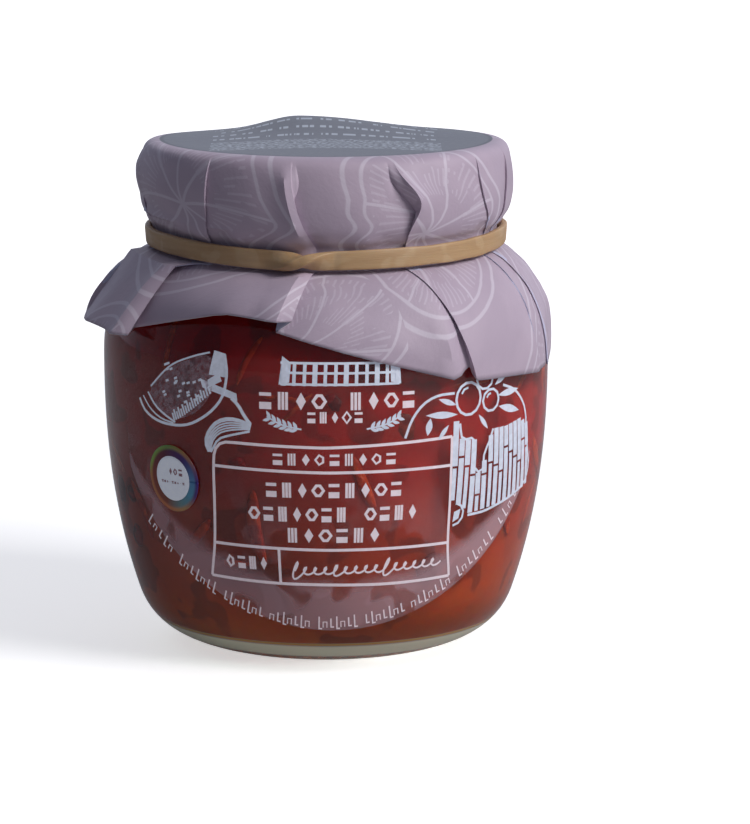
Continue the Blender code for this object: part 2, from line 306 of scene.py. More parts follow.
class Signal:
    """A shader socket that adds, multiplies and compares like a number."""

    def __init__(self, board: "Board", socket: bpy.types.NodeSocket) -> None:
        self.board = board
        self.socket = socket

    def __add__(self, other: "Signal | float") -> "Signal":
        """Sum."""
        return self.board.math("ADD", self, other)

    def __sub__(self, other: "Signal | float") -> "Signal":
        """Difference."""
        return self.board.math("SUBTRACT", self, other)

    def __mul__(self, other: "Signal | float") -> "Signal":
        """Product."""
        return self.board.math("MULTIPLY", self, other)

    def __truediv__(self, other: "Signal | float") -> "Signal":
        """Quotient."""
        return self.board.math("DIVIDE", self, other)

    def below(self, other: "Signal | float") -> "Signal":
        """1 where this is less than the other."""
        return self.board.math("LESS_THAN", self, other)

    def above(self, other: "Signal | float") -> "Signal":
        """1 where this is more than the other."""
        return self.board.math("GREATER_THAN", self, other)

    def spread(self, low: float, high: float, start: float = 0.0, end: float = 1.0) -> "Signal":
        """Ease from start to end while this goes from low to high."""
        settings = {"interpolation_type": "SMOOTHSTEP"}
        values = {"Value": self, "From Min": low, "From Max": high, "To Min": start, "To Max": end}
        return self.board.node("ShaderNodeMapRange", values, settings)

    def on_line(self, at: float, half: float, soft: float) -> "Signal":
        """1 within half of a value, easing to 0 over soft."""
        return self.board.math("ABSOLUTE", self - at).spread(half, half + soft, 1.0, 0.0)


class Board:
    """Places and joins the nodes of one node tree."""

    def __init__(self, tree: bpy.types.NodeTree) -> None:
        self.tree = tree

    def node(
        self, kind: str, values: dict | None = None, settings: dict | None = None, out: str | int = 0
    ) -> Signal:
        """Place a node.

        Args:
            kind: the node's type.
            values: input name or number to a value or a Signal.
            settings: the node's own attributes.
            out: output name or number.

        Returns:
            The output, as a Signal.
        """
        made = self.tree.nodes.new(kind)
        for key, value in (settings or {}).items():
            setattr(made, key, value)
        for key, value in (values or {}).items():
            if isinstance(value, Signal):
                self.tree.links.new(value.socket, made.inputs[key])
            elif isinstance(value, tuple) and len(made.inputs[key].default_value) == 4:
                made.inputs[key].default_value = (*value[:3], 1.0)
            else:
                made.inputs[key].default_value = value
        return Signal(self, made.outputs[out])

    def math(self, operation: str, *terms: Signal | float) -> Signal:
        """A Math node."""
        return self.node("ShaderNodeMath", dict(enumerate(terms)), {"operation": operation})

    def mix(self, share: Signal | float, first: Signal | Colour, second: Signal | Colour) -> Signal:
        """The first colour, turning to the second as share goes from 0 to 1."""
        values = {0: share, 6: first, 7: second}
        return self.node("ShaderNodeMix", values, {"data_type": "RGBA"}, out=2)

    def split(self, vector: Signal) -> tuple[Signal, Signal, Signal]:
        """The three numbers of a vector."""
        made = self.node("ShaderNodeSeparateXYZ", {"Vector": vector})
        return tuple(Signal(self, socket) for socket in made.socket.node.outputs)

    def here(self, which: str = "Object") -> Signal:
        """Place on the piece: Object in metres, or UV."""
        return self.node("ShaderNodeTexCoord", out=which)

    def noise(self, at: Signal, scale: float, detail: float = 2.0, rough: float = 0.5) -> Signal:
        """Soft noise from 0 to 1."""
        values = {"Vector": at, "Scale": scale, "Detail": detail, "Roughness": rough}
        return self.node("ShaderNodeTexNoise", values)

    def ramp(self, at: Signal, stops: list[tuple[float, Colour]]) -> Signal:
        """Colour by a value from 0 to 1, through the stops."""
        made = self.node("ShaderNodeValToRGB", {"Fac": at})
        elements = made.socket.node.color_ramp.elements
        for index, (position, colour) in enumerate(stops):
            element = elements[index] if index < 2 else elements.new(position)
            element.position, element.color = position, (*colour, 1.0)
        return made

    def grain(self, at: Signal, scale: float, depth: float) -> Signal:
        """Surface normal with fine grain, from the shared group."""
        group = shared_group("fine_grain", "Depth", ("Normal", "NodeSocketVector"), fine_grain)
        values = {"Place": at, "Scale": scale, "Depth": depth}
        return self.node("ShaderNodeGroup", values, {"node_tree": group}, out="Normal")

    def blotch(self, at: Signal, scale: float, cover: float) -> Signal:
        """Mask of soft-edged patches, from the shared group."""
        group = shared_group("soft_blotches", "Cover", ("Mask", "NodeSocketFloat"), soft_blotches)
        values = {"Place": at, "Scale": scale, "Cover": cover}
        return self.node("ShaderNodeGroup", values, {"node_tree": group}, out="Mask")


def shared_group(
    name: str,
    strength: str,
    output: tuple[str, str],
    effect: Callable[[Board, Signal, Signal, Signal], Signal],
) -> bpy.types.NodeTree:
    """A shader node group that takes a place, a scale and a strength, made once.

    Args:
        name: its name.
        strength: name of the third input.
        output: name and socket type of the output.
        effect: works out the output from the three inputs.

    Returns:
        The group.
    """
    if name in bpy.data.node_groups:
        return bpy.data.node_groups[name]
    tree = bpy.data.node_groups.new(name, "ShaderNodeTree")
    inputs = {"Place": "NodeSocketVector", "Scale": "NodeSocketFloat", strength: "NodeSocketFloat"}
    for label, kind in inputs.items():
        tree.interface.new_socket(name=label, in_out="INPUT", socket_type=kind)
    tree.interface.new_socket(name=output[0], in_out="OUTPUT", socket_type=output[1])
    start = tree.nodes.new("NodeGroupInput")
    board = Board(tree)
    made = effect(board, *(Signal(board, start.outputs[label]) for label in inputs))
    end = tree.nodes.new("NodeGroupOutput")
    tree.links.new(made.socket, end.inputs[0])
    return tree


def fine_grain(board: Board, at: Signal, scale: Signal, depth: Signal) -> Signal:
    """Shared effect: a bumped normal from two sizes of noise, for fibre, rubber and metal."""
    fine = board.node("ShaderNodeTexNoise", {"Vector": at, "Scale": scale, "Detail": 4.0})
    broad = board.node("ShaderNodeTexNoise", {"Vector": at, "Scale": scale * 0.17})
    height = (fine + broad * 1.5) * depth
    return board.node("ShaderNodeBump", {"Height": height, "Strength": 1.0, "Distance": 1.0})


def soft_blotches(board: Board, at: Signal, scale: Signal, cover: Signal) -> Signal:
    """Shared effect: a mask of soft-edged patches, for stains, haze and uneven colour."""
    values = {"Vector": at, "Scale": scale, "Detail": 1.5, "Distortion": 0.4}
    return (board.node("ShaderNodeTexNoise", values) + cover - 1.0).spread(-0.03, 0.03)


class Finish:
    """Base of every finish: makes one material from a Principled shader."""

    name: str

    def principled(self, board: Board) -> dict:
        """Inputs of the Principled shader, by name.

        Args:
            board: where nodes are placed.

        Returns:
            Input name to value or Signal.
        """
        raise NotImplementedError

    def make(self) -> bpy.types.Material:
        """Build the material, or give back the one already built.

        Returns:
            The material.
        """
        if self.name in bpy.data.materials:
            return bpy.data.materials[self.name]
        material = bpy.data.materials.new(self.name)
        material.use_nodes = True
        material.node_tree.nodes.clear()
        board = Board(material.node_tree)
        shader = board.node("ShaderNodeBsdfPrincipled", self.principled(board))
        shader = self.around(board, shader)
        end = material.node_tree.nodes.new("ShaderNodeOutputMaterial")
        material.node_tree.links.new(shader.socket, end.inputs["Surface"])
        return material

    def around(self, board: Board, shader: Signal) -> Signal:
        """What surrounds the Principled shader: nothing, in most finishes."""
        return shader


@dataclass(frozen=True)
class GlassFinish(Finish):
    """Clear soda glass with faint handling smears. Lamps reach what stands behind it.

    Attributes:
        tint: colour of the clear glass.
        roughness, smear_roughness: of clean and of smeared glass.
        base_radius: the base's marks lie outside this radius, in millimetres.
        band_height, line_height, knurl_height: heights of the base's marks, in millimetres.
        painted_band_tone, base_line, knurl_painted_shade: their colours.
        knurl_count: how many knurls go round.
        index: the glass's refractive index.
    """

    name: str = "clear_glass_finish"
    tint: Colour = (0.90, 0.955, 0.91)
    roughness: float = 0.015
    smear_roughness: float = 0.07
    base_radius: float = 17.0
    band_height: float = 2.75
    line_height: float = 3.95
    knurl_height: float = 1.45
    # pale colour of the band of painted light that the thick base gathers
    painted_band_tone: Colour = srgb(246, 248, 222)
    base_line: Colour = srgb(196, 152, 84)
    # dark colour of the knurls: painted shade
    knurl_painted_shade: Colour = (0.16, 0.13, 0.12)
    knurl_count: float = 64.0
    index: float = 1.52

    def base_marks(self, board: Board) -> tuple[Signal, Signal, Signal]:
        """The light that the thick base gathers is painted as a pale band low on the heel, with a thin warm
        line over it, and the knurling beneath is darkened as painted shade.

        Args:
            board: where nodes are placed.

        Returns:
            The glass's colour with the marks on it, where the painted light band and the line lie, and how
            much the marks cover.
        """
        x, y, z = board.split(board.here())
        outer = board.math("SQRT", x * x + y * y).above(self.base_radius * MM)
        height = z / MM
        # painted light: a pale band low on the heel stands for light gathered in the thick base
        band = height.on_line(self.band_height, 0.7, 0.5) * outer
        line = height.on_line(self.line_height, 0.12, 0.12) * outer
        beat = board.math("SINE", board.math("ARCTAN2", y, x) * self.knurl_count).above(0.2)
        # painted shade: the knurls are dark ticks
        knurls = height.on_line(self.knurl_height, 0.22, 0.12) * outer * beat
        painted_band_and_line = board.math("MAXIMUM", band, line)
        tone = board.mix(line, board.mix(band, self.tint, self.painted_band_tone), self.base_line)
        marked = board.mix(knurls * 0.7, tone, self.knurl_painted_shade)
        return marked, painted_band_and_line, painted_band_and_line * 0.85 + knurls * 0.3

    def principled(self, board: Board) -> dict:
        """Glass inputs: smears raise the roughness in patches, and so do the painted light band and the line
        of the base.
        """
        at = board.here()
        tone, painted_band_and_line, _ = self.base_marks(board)
        smears = board.blotch(at, 55.0, 0.42)
        rough = smears * (self.smear_roughness - self.roughness) + self.roughness
        return {
            "Base Color": tone,
            "Roughness": rough + painted_band_and_line * 0.2,
            "IOR": self.index,
            "Transmission Weight": 1.0,
            "Normal": board.grain(at, 90.0, 0.00002),
        }

    def around(self, board: Board, shader: Signal) -> Signal:
        """Lay the base's marks over the glass: a band of painted light, a line and knurls darkened as
        painted shade, opaque and with their own colour and grain. Let shadow rays through, so that lamps
        light the contents."""
        glass = shader.socket.node.inputs
        shared = {key: Signal(board, glass[key].links[0].from_socket)
                  for key in ("Base Color", "Roughness", "Normal")}
        opaque = board.node("ShaderNodeBsdfPrincipled", shared | {"IOR": self.index})
        cover = self.base_marks(board)[2]
        marked = board.node("ShaderNodeMixShader", {0: cover, 1: shader, 2: opaque})
        clear = board.node("ShaderNodeBsdfTransparent", {"Color": self.tint})
        shadow = board.node("ShaderNodeLightPath", out="Is Shadow Ray")
        return board.node("ShaderNodeMixShader", {0: shadow, 1: marked, 2: clear})


@dataclass(frozen=True)
class FillFinish(Finish):
    """Dark fruit jelly: deep red above, browner lower down and amber near the base."""

    name: str = "marmalade_finish"
    top: Colour = srgb(180, 5, 3)
    middle: Colour = srgb(174, 38, 30)
    bottom: Colour = srgb(206, 100, 12)
    height: float = 60.0

    def principled(self, board: Board) -> dict:
        """Colour by height, with darker clots and paler cloudy patches."""
        at = board.here()
        height = board.split(at)[2] / (self.height * MM)
        wavy = height + (board.noise(at, 60.0) - 0.5) * 0.12
        base = board.ramp(
            wavy,
            [(0.04, self.bottom), (0.95, self.top), (0.15, srgb(190, 72, 14)), (0.42, self.middle),
             (0.66, self.top)],
        )
        cloudy = board.mix(board.blotch(at, 150.0, 0.44) * 0.2, base, srgb(150, 60, 40))
        dark = board.mix(board.blotch(at, 210.0, 0.40) * 0.4, cloudy, srgb(70, 8, 6))
        return {
            "Base Color": dark,
            "Roughness": 0.4,
            "Specular IOR Level": 0.12,
            "Subsurface Weight": 0.85,
            "Subsurface Radius": (1.0, 0.3, 0.12),
            "Subsurface Scale": 0.007,
            "Normal": board.grain(at, 260.0, 0.0003),
        }


@dataclass(frozen=True)
class FruitFinish(Finish):
    """A soaked piece of fruit or root: a main colour with patches of a second one."""

    name: str
    main: Colour
    patches: Colour
    wrinkle: float = 0.0004

    def principled(self, board: Board) -> dict:
        """Two colours in small patches, and a wrinkled skin."""
        at = board.here()
        colour = board.mix(board.blotch(at, 420.0, 0.5), self.main, self.patches)
        return {
            "Base Color": colour,
            "Roughness": 0.35,
            "Specular IOR Level": 0.15,
            "Subsurface Weight": 0.2,
            "Subsurface Radius": (1.0, 0.3, 0.1),
            "Subsurface Scale": 0.001,
            "Normal": board.grain(at, 900.0, self.wrinkle),
        }


@dataclass(frozen=True)
class LidFinish(Finish):
    """Gold-lacquered steel, lightly brushed round by handling."""

    name: str = "lid_metal_finish"

    def principled(self, board: Board) -> dict:
        """Lacquered metal with worn duller patches."""
        at = board.here()
        worn = board.blotch(at, 120.0, 0.45)
        return {
            "Base Color": board.mix(worn, (0.72, 0.56, 0.28), (0.60, 0.47, 0.26)),
            "Metallic": 1.0,
            "Roughness": worn * 0.14 + 0.24,
            "Normal": board.grain(at, 1500.0, 0.00002),
        }


@dataclass(frozen=True)
class PaperFinish(Finish):
    """Uncoated printed paper: a lavender ground, pale fruit-slice line drawings and a slate disc
    with rows of small marks. The pattern lies on the flat sheet, in its UV map.
    """

    name: str = "printed_paper_finish"
    ground: Colour = srgb(188, 171, 188)
    line: Colour = srgb(232, 226, 238)
    disc: Colour = srgb(120, 123, 134)
    sheet: float = 120.0
    disc_radius: float = 21.3
    slice_size: float = 36.0

    def slices(self, board: Board, flat: Signal) -> Signal:
        """Line drawing of fruit slices: each cell has rind rings, segment walls and hatching.

        Args:
            board: where nodes are placed.
            flat: place on the flat sheet, in millimetres.

        Returns:
            Mask of the printed lines.
        """
        values = {"Vector": flat, "Scale": 1.0 / self.slice_size, "Randomness": 0.75}
        settings = {"voronoi_dimensions": "2D"}
        cell = board.node("ShaderNodeTexVoronoi", values, settings, out="Position")
        nodes = cell.socket.node
        shade = board.split(Signal(board, nodes.outputs["Color"]))
        away = board.node("ShaderNodeVectorMath", {0: flat, 1: cell}, {"operation": "SUBTRACT"})
        x, y, _ = board.split(away)
        reach = board.math("SQRT", x * x + y * y)
        turn = board.math("ARCTAN2", y, x) + shade[0] * 3.0
        size = shade[1] * 4.0 + 14.0
        share = reach / size
        rind = share.on_line(1.0, 0.012, 0.014) + share.on_line(0.86, 0.008, 0.014)
        wedge = board.math("FRACT", turn * (9.0 / math.tau) + 5.0)
        nearest = board.math("ABSOLUTE", wedge - 0.5) * -1.0 + 0.5
        wall = (nearest * (math.tau / 9.0) * reach).on_line(0.0, 0.12, 0.16)
        inside = share.below(0.86)
        beat = board.math("FRACT", turn * (72.0 / math.tau) + 5.0)
        ragged = board.noise(flat, 0.35, 1.0).above(0.47)
        hatch = beat.on_line(0.5, 0.1, 0.14) * share.above(0.35) * share.below(0.8) * ragged
        drawing = rind + (wall + hatch * 0.55) * inside
        return board.math("MINIMUM", drawing, 1.0)

    def marks(self, board: Board, x: Signal, y: Signal) -> Signal:
        """Rows of small blocks on the disc, along gentle arcs.

        Args:
            board: where nodes are placed.
            x, y: place on the flat sheet, in millimetres.

        Returns:
            Mask of the marks.
        """
        arc = y + x * x * 0.018
        row = board.math("FRACT", arc * 0.24 + 9.3)
        index = board.math("FLOOR", arc * 0.24 + 9.3)
        gaps = board.noise(board.node("ShaderNodeCombineXYZ", {0: x * 1.3, 1: index * 3.1}), 1.0, 1.0)
        rows = row.on_line(0.5, 0.1, 0.06) * gaps.above(0.5) * arc.above(-1.0) * arc.below(15.0)
        grains = board.noise(board.node("ShaderNodeCombineXYZ", {0: x, 1: y}), 1.7, 1.0)
        dense = grains.spread(0.45, 0.6) * arc.above(-11.5) * arc.below(-2.5) * 0.75
        return (rows + dense) * board.math("ABSOLUTE", x).below(14.5)

    def principled(self, board: Board) -> dict:
        """Print, fibre and roughness of the sheet."""
        flat = board.node(
            "ShaderNodeMapping",
            {"Vector": board.here("UV"), "Scale": (self.sheet,) * 3,
             "Location": (-self.sheet / 2.0, -self.sheet / 2.0, 0.0)},
        )
        x, y, _ = board.split(flat)
        reach = board.math("SQRT", x * x + y * y)
        tone = board.noise(flat, 0.11, 3.0)
        ground = board.mix(tone.spread(0.35, 0.65) * 0.5, self.ground, srgb(174, 158, 176))
        printed = board.mix(self.slices(board, flat) * 0.38, ground, self.line)
        disc = board.mix(self.marks(board, x, y) * 0.7, self.disc, srgb(206, 214, 228))
        dark_rim = board.mix(reach.on_line(self.disc_radius, 0.35, 0.3) * 0.55, disc, srgb(84, 86, 96))
        colour = board.mix(reach.spread(self.disc_radius - 0.1, self.disc_radius + 0.1), dark_rim, printed)
        return {
            "Base Color": colour,
            "Roughness": board.noise(flat, 1.4, 2.0) * 0.16 + 0.46,
            "Specular IOR Level": 0.4,
            "Sheen Weight": 0.06,
            "Normal": board.grain(flat, 1.9, 0.00003),
        }


@dataclass(frozen=True)
class PlainPaperFinish(Finish):
    """The sheet's unprinted side or its cut edge: bare fibre."""

    name: str
    colour: Colour

    def principled(self, board: Board) -> dict:
        """Bare paper with fibre mottling."""
        at = board.here()
        fibres = board.noise(at, 900.0, 4.0).spread(0.35, 0.7) * 0.12
        colour = board.mix(fibres, self.colour, tuple(part * 0.6 for part in self.colour))
        return {"Base Color": colour, "Roughness": 0.75, "Normal": board.grain(at, 1900.0, 0.00006)}


@dataclass(frozen=True)
class RubberFinish(Finish):
    """Natural tan rubber: dusted, slightly translucent, with fine lines along the strip."""

    name: str = "rubber_finish"
    colour: Colour = srgb(186, 152, 112)

    def principled(self, board: Board) -> dict:
        """Tan with dusty paler patches and lines that follow the strip."""
        at = board.here()
        stretched = board.node("ShaderNodeMapping", {"Vector": at, "Scale": (1.0, 1.0, 14.0)})
        lines = board.noise(stretched, 120.0, 3.0).spread(0.35, 0.7)
        colour = board.mix(lines * 0.35, self.colour, srgb(164, 130, 92))
        colour = board.mix(board.blotch(at, 260.0, 0.42) * 0.4, colour, srgb(200, 172, 136))
        return {
            "Base Color": colour,
            "Roughness": lines * 0.12 + 0.46,
            "Subsurface Weight": 0.15,
            "Subsurface Radius": (1.0, 0.5, 0.2),
            "Subsurface Scale": 0.001,
            "Normal": board.grain(stretched, 700.0, 0.00004),
        }


@dataclass(frozen=True)
class FilmFinish(Finish):
    """Clear label film that has wetted out unevenly: hazy patches, denser along its lower edge."""

    name: str = "label_film_finish"
    haze: Colour = srgb(214, 178, 186)

    def principled(self, board: Board) -> dict:
        """Opacity by patches and by the distance from the edge, which the UV map's v gives."""
        at = board.here()
        _, edge, _ = board.split(board.here("UV"))
        border = edge.spread(0.13, 0.22, 1.0, 0.0)
        patches = board.blotch(at, 170.0, 0.44) * edge.spread(0.3, 0.6, 1.0, 0.0)
        opacity = patches * 0.07 + border * (board.blotch(at, 150.0, 0.58) * 0.30 + 0.09) + 0.012
        return {
            "Base Color": self.haze,
            "Roughness": 0.3,
            "Specular IOR Level": 0.25,
            "Alpha": opacity,
            "Normal": board.grain(at, 300.0, 0.00005),
        }


@dataclass(frozen=True)
class InkFinish(Finish):
    """White label ink, a little uneven where it was laid down, that glows faintly as painted light."""

    name: str
    colour: Colour
    worn: float = 0.3
    painted_ink_glow: float = 0.14

    def principled(self, board: Board) -> dict:
        """Ink with thinner, duller patches, and faint emission of its own colour as painted light."""
        at = board.here()
        thin = board.noise(at, 1400.0, 2.0).spread(0.3, 0.7) * self.worn
        colour = board.mix(thin, self.colour, tuple(part * 0.7 for part in self.colour))
        return {
            "Base Color": colour,
            "Roughness": 0.5,
            # painted light: the ink glows faintly, so that it stays bright where the lamp leaves it in shade
            "Emission Color": self.colour,
            "Emission Strength": self.painted_ink_glow,
            "Normal": board.grain(at, 2200.0, 0.00003),
        }


@dataclass(frozen=True)
class HalfToneFinish(Finish):
    """Ink laid as fine dots, so that the contents show between them."""

    name: str = "half_tone_finish"
    colour: Colour = srgb(204, 176, 186)

    def principled(self, board: Board) -> dict:
        """Sparse ink with denser patches."""
        at = board.here()
        cover = board.noise(at, 1500.0, 2.0).spread(0.3, 0.7) * 0.3 + 0.12
        return {"Base Color": self.colour, "Roughness": 0.5, "Alpha": cover}


@dataclass(frozen=True)
class FoilFinish(Finish):
    """Rainbow foil: its colour turns with the angle round the ring and changes across it."""

    name: str = "rainbow_foil_finish"

    def principled(self, board: Board) -> dict:
        """Angle in u and distance from the middle in v of the UV map pick the colour."""
        around, across, _ = board.split(board.here("UV"))
        shimmer = around + (board.noise(board.here(), 500.0) - 0.5) * 0.05
        inner = board.ramp(
            shimmer,
            [(0.0, srgb(92, 140, 190)), (1.0, srgb(92, 140, 190)), (0.14, srgb(70, 46, 120)),
             (0.30, srgb(96, 40, 62)), (0.50, srgb(134, 60, 50)), (0.68, srgb(138, 74, 56)),
             (0.80, srgb(116, 146, 150)), (0.90, srgb(90, 160, 190))],
        )
        outer = board.ramp(
            shimmer,
            [(0.0, srgb(76, 54, 140)), (1.0, srgb(76, 54, 140)), (0.15, srgb(176, 128, 90)),
             (0.27, srgb(120, 150, 80)), (0.42, srgb(150, 186, 84)), (0.52, srgb(196, 130, 88)),
             (0.70, srgb(206, 124, 84)), (0.82, srgb(190, 150, 100)), (0.92, srgb(90, 60, 130))],
        )
        return {
            "Base Color": board.mix(across.spread(0.45, 0.85), inner, outer),
            "Metallic": 0.35,
            "Roughness": 0.32,
            "Normal": board.grain(board.here(), 1800.0, 0.00003),
        }


@dataclass(frozen=True)
class FloorFinish(Finish):
    """Matt white that glows to the camera, so that it stays white and its shadows soft; it glows less near
    the jar, which paints shade round it.
    """

    name: str = "floor_finish"
    to_light: Colour = (0.34, 0.33, 0.33)
    painted_shade_fade: tuple[float, float] = (0.08, 0.42)

    def principled(self, board: Board) -> dict:
        """Pale to the camera and darker to other rays, with less emission close to the jar, which paints
        shade round it.
        """
        at = board.here()
        seen = board.node("ShaderNodeLightPath", out="Is Camera Ray")
        pale = board.mix(board.noise(at, 3.0), (0.86, 0.86, 0.87), (0.88, 0.88, 0.88))
        x, y, _ = board.split(at)
        # painted shade: emission falls off close to the jar, so the floor is darker round it
        away = board.math("SQRT", x * x + y * y).spread(*self.painted_shade_fade)
        return {
            "Base Color": board.mix(seen, self.to_light, pale),
            "Roughness": 0.6,
            "Specular IOR Level": 0.2,
            "Emission Color": (1.0, 0.99, 0.985),
            "Emission Strength": seen * (away * 0.34 + 0.50) + 0.06,
        }


# ---------------------------------------------------------------- jar and contents


@dataclass(frozen=True)
class JarShape:
    """The jar's outside and inside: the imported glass, with its heel rounded further up."""

    belly: float = 28.6
    belly_height: float = 38.0
    foot: float = 24.25
    foot_height: float = 7.0
    power: float = 2.38
    base: float = 11.0
    neck: float = 21.2
    shoulder_top: float = 49.5
    wall: float = 2.2
    floor: float = 3.5
    bore: float = 18.8
    rim_top: float = 62.7

    def radius(self, height: Array) -> Array:
        """Outer radius: below the belly a power curve of the drop, above it a quarter ellipse.

        Args:
            height: heights from the foot to the shoulder's top.

        Returns:
            The radius at each height.
        """
        height = np.asarray(height, float)
        drop = np.clip((self.belly_height - height) / (self.belly_height - self.foot_height), 0, None)
        low = self.belly - (self.belly - self.foot) * drop**self.power
        rise = (height - self.belly_height) / (self.shoulder_top - self.belly_height)
        high = self.neck + (self.belly - self.neck) * np.sqrt(np.clip(1.0 - rise * rise, 0.0, 1.0))
        return np.where(height <= self.belly_height, low, high)

    def on_belly(self, along: Array, height: Array, lift: float) -> Array:
        """Points on the belly, along being the distance round it at its widest."""
        return place(np.degrees(np.asarray(along) / self.belly), self.radius(height) + lift, height)

    def side(self, inset: float, floor: float, bore: float) -> Array:
        """Foot, belly and shoulder, drawn in by an inset and rising from floor to bore.

        The foot is a quadratic Bezier that leaves the base level and meets the belly in line with
        it, the belly follows radius(), and the shoulder is a quarter ellipse.

        Args:
            inset: distance inside the outer surface.
            floor: height where it starts.
            bore: radius where it ends.

        Returns:
            Rows of radius and height.
        """
        step = 0.1
        slope = (float(self.radius(self.foot_height + step)) - self.foot) / step
        start = np.array([self.base - inset, floor])
        foot = np.array([self.foot - inset, self.foot_height + floor])
        knee = np.array([foot[0] - slope * self.foot_height, floor])
        t = np.linspace(0.0, 1.0, 16, endpoint=False)[:, None]
        curve = start * (1 - t) ** 2 + 2 * knee * t * (1 - t) + foot * t**2
        share = np.linspace(0.0, 1.0, 50, endpoint=False)
        height = self.foot_height + (self.belly_height - self.foot_height) * share
        belly = np.stack([self.radius(height) - inset, height + floor * (1.0 - share)], axis=-1)
        angle = np.linspace(0.0, 0.5 * math.pi, 22)
        top = self.shoulder_top - 0.3 * inset
        shoulder = np.stack(
            [bore + (self.belly - inset - bore) * np.cos(angle),
             self.belly_height + (top - self.belly_height) * np.sin(angle)], axis=-1)
        return np.vstack([curve, belly, shoulder])


JAR = JarShape()


def turned(profile: Array, columns: int) -> Surface:
    """Spin a profile of radius and height about the axis, closing it at its poles.

    Args:
        profile: rows of radius and height.
        columns: how many steps round.

    Returns:
        The surface.
    """
    azimuth = np.linspace(0.0, 360.0, columns, endpoint=False)
    surface = Surface()
    surface.grid(place(azimuth, profile[:, :1], profile[:, 1:]), wrap_columns=True, poles=(True, True))
    return surface


@dataclass
class GlassJar:
    """The glass: a thick base with a shallow hollow, belly, shoulder, neck with one ring, and rim."""

    columns: int = 176
    hollow_radius: float = 9.4
    hollow_depth: float = 0.7

    def build(self) -> None:
        """Build the glass as one closed wall."""
        jar = JAR
        near_axis = 0.3
        hollow = np.linspace(near_axis, self.hollow_radius, 8)
        rise = self.hollow_depth * np.cos(0.5 * math.pi * (hollow / self.hollow_radius) ** 3)
        base = np.stack([hollow, rise], axis=-1)
        ring = np.array([[self.hollow_radius + 0.8, 0.02]])
        neck = smooth_line(
            [(jar.neck, jar.shoulder_top + 0.3), (jar.neck, 54.0), (jar.neck, 57.4), (jar.neck + 0.65, 58.2),
             (jar.neck + 0.65, 59.0), (jar.neck, 59.8), (jar.neck, jar.rim_top - 0.7),
             (jar.neck - 0.6, jar.rim_top), (jar.bore + 0.6, jar.rim_top), (jar.bore, jar.rim_top - 0.7)], 4)
        inside = jar.side(jar.wall, jar.floor, jar.bore)[::-1]
        floor = np.stack([np.linspace(jar.base - jar.wall - 1.0, near_axis, 6),
                          jar.floor + 0.5 * (1 - np.linspace(1.0, 0.0, 6) ** 2)], axis=-1)
        profile = np.vstack([base, ring, jar.side(0.0, 0.0, jar.neck), neck, inside, floor])
        surface = turned(profile, self.columns)
        add_piece("glass_body", surface.mesh("glass_body"), [GlassFinish().make()],
                  ("glass_jar",), sharp=50.0)


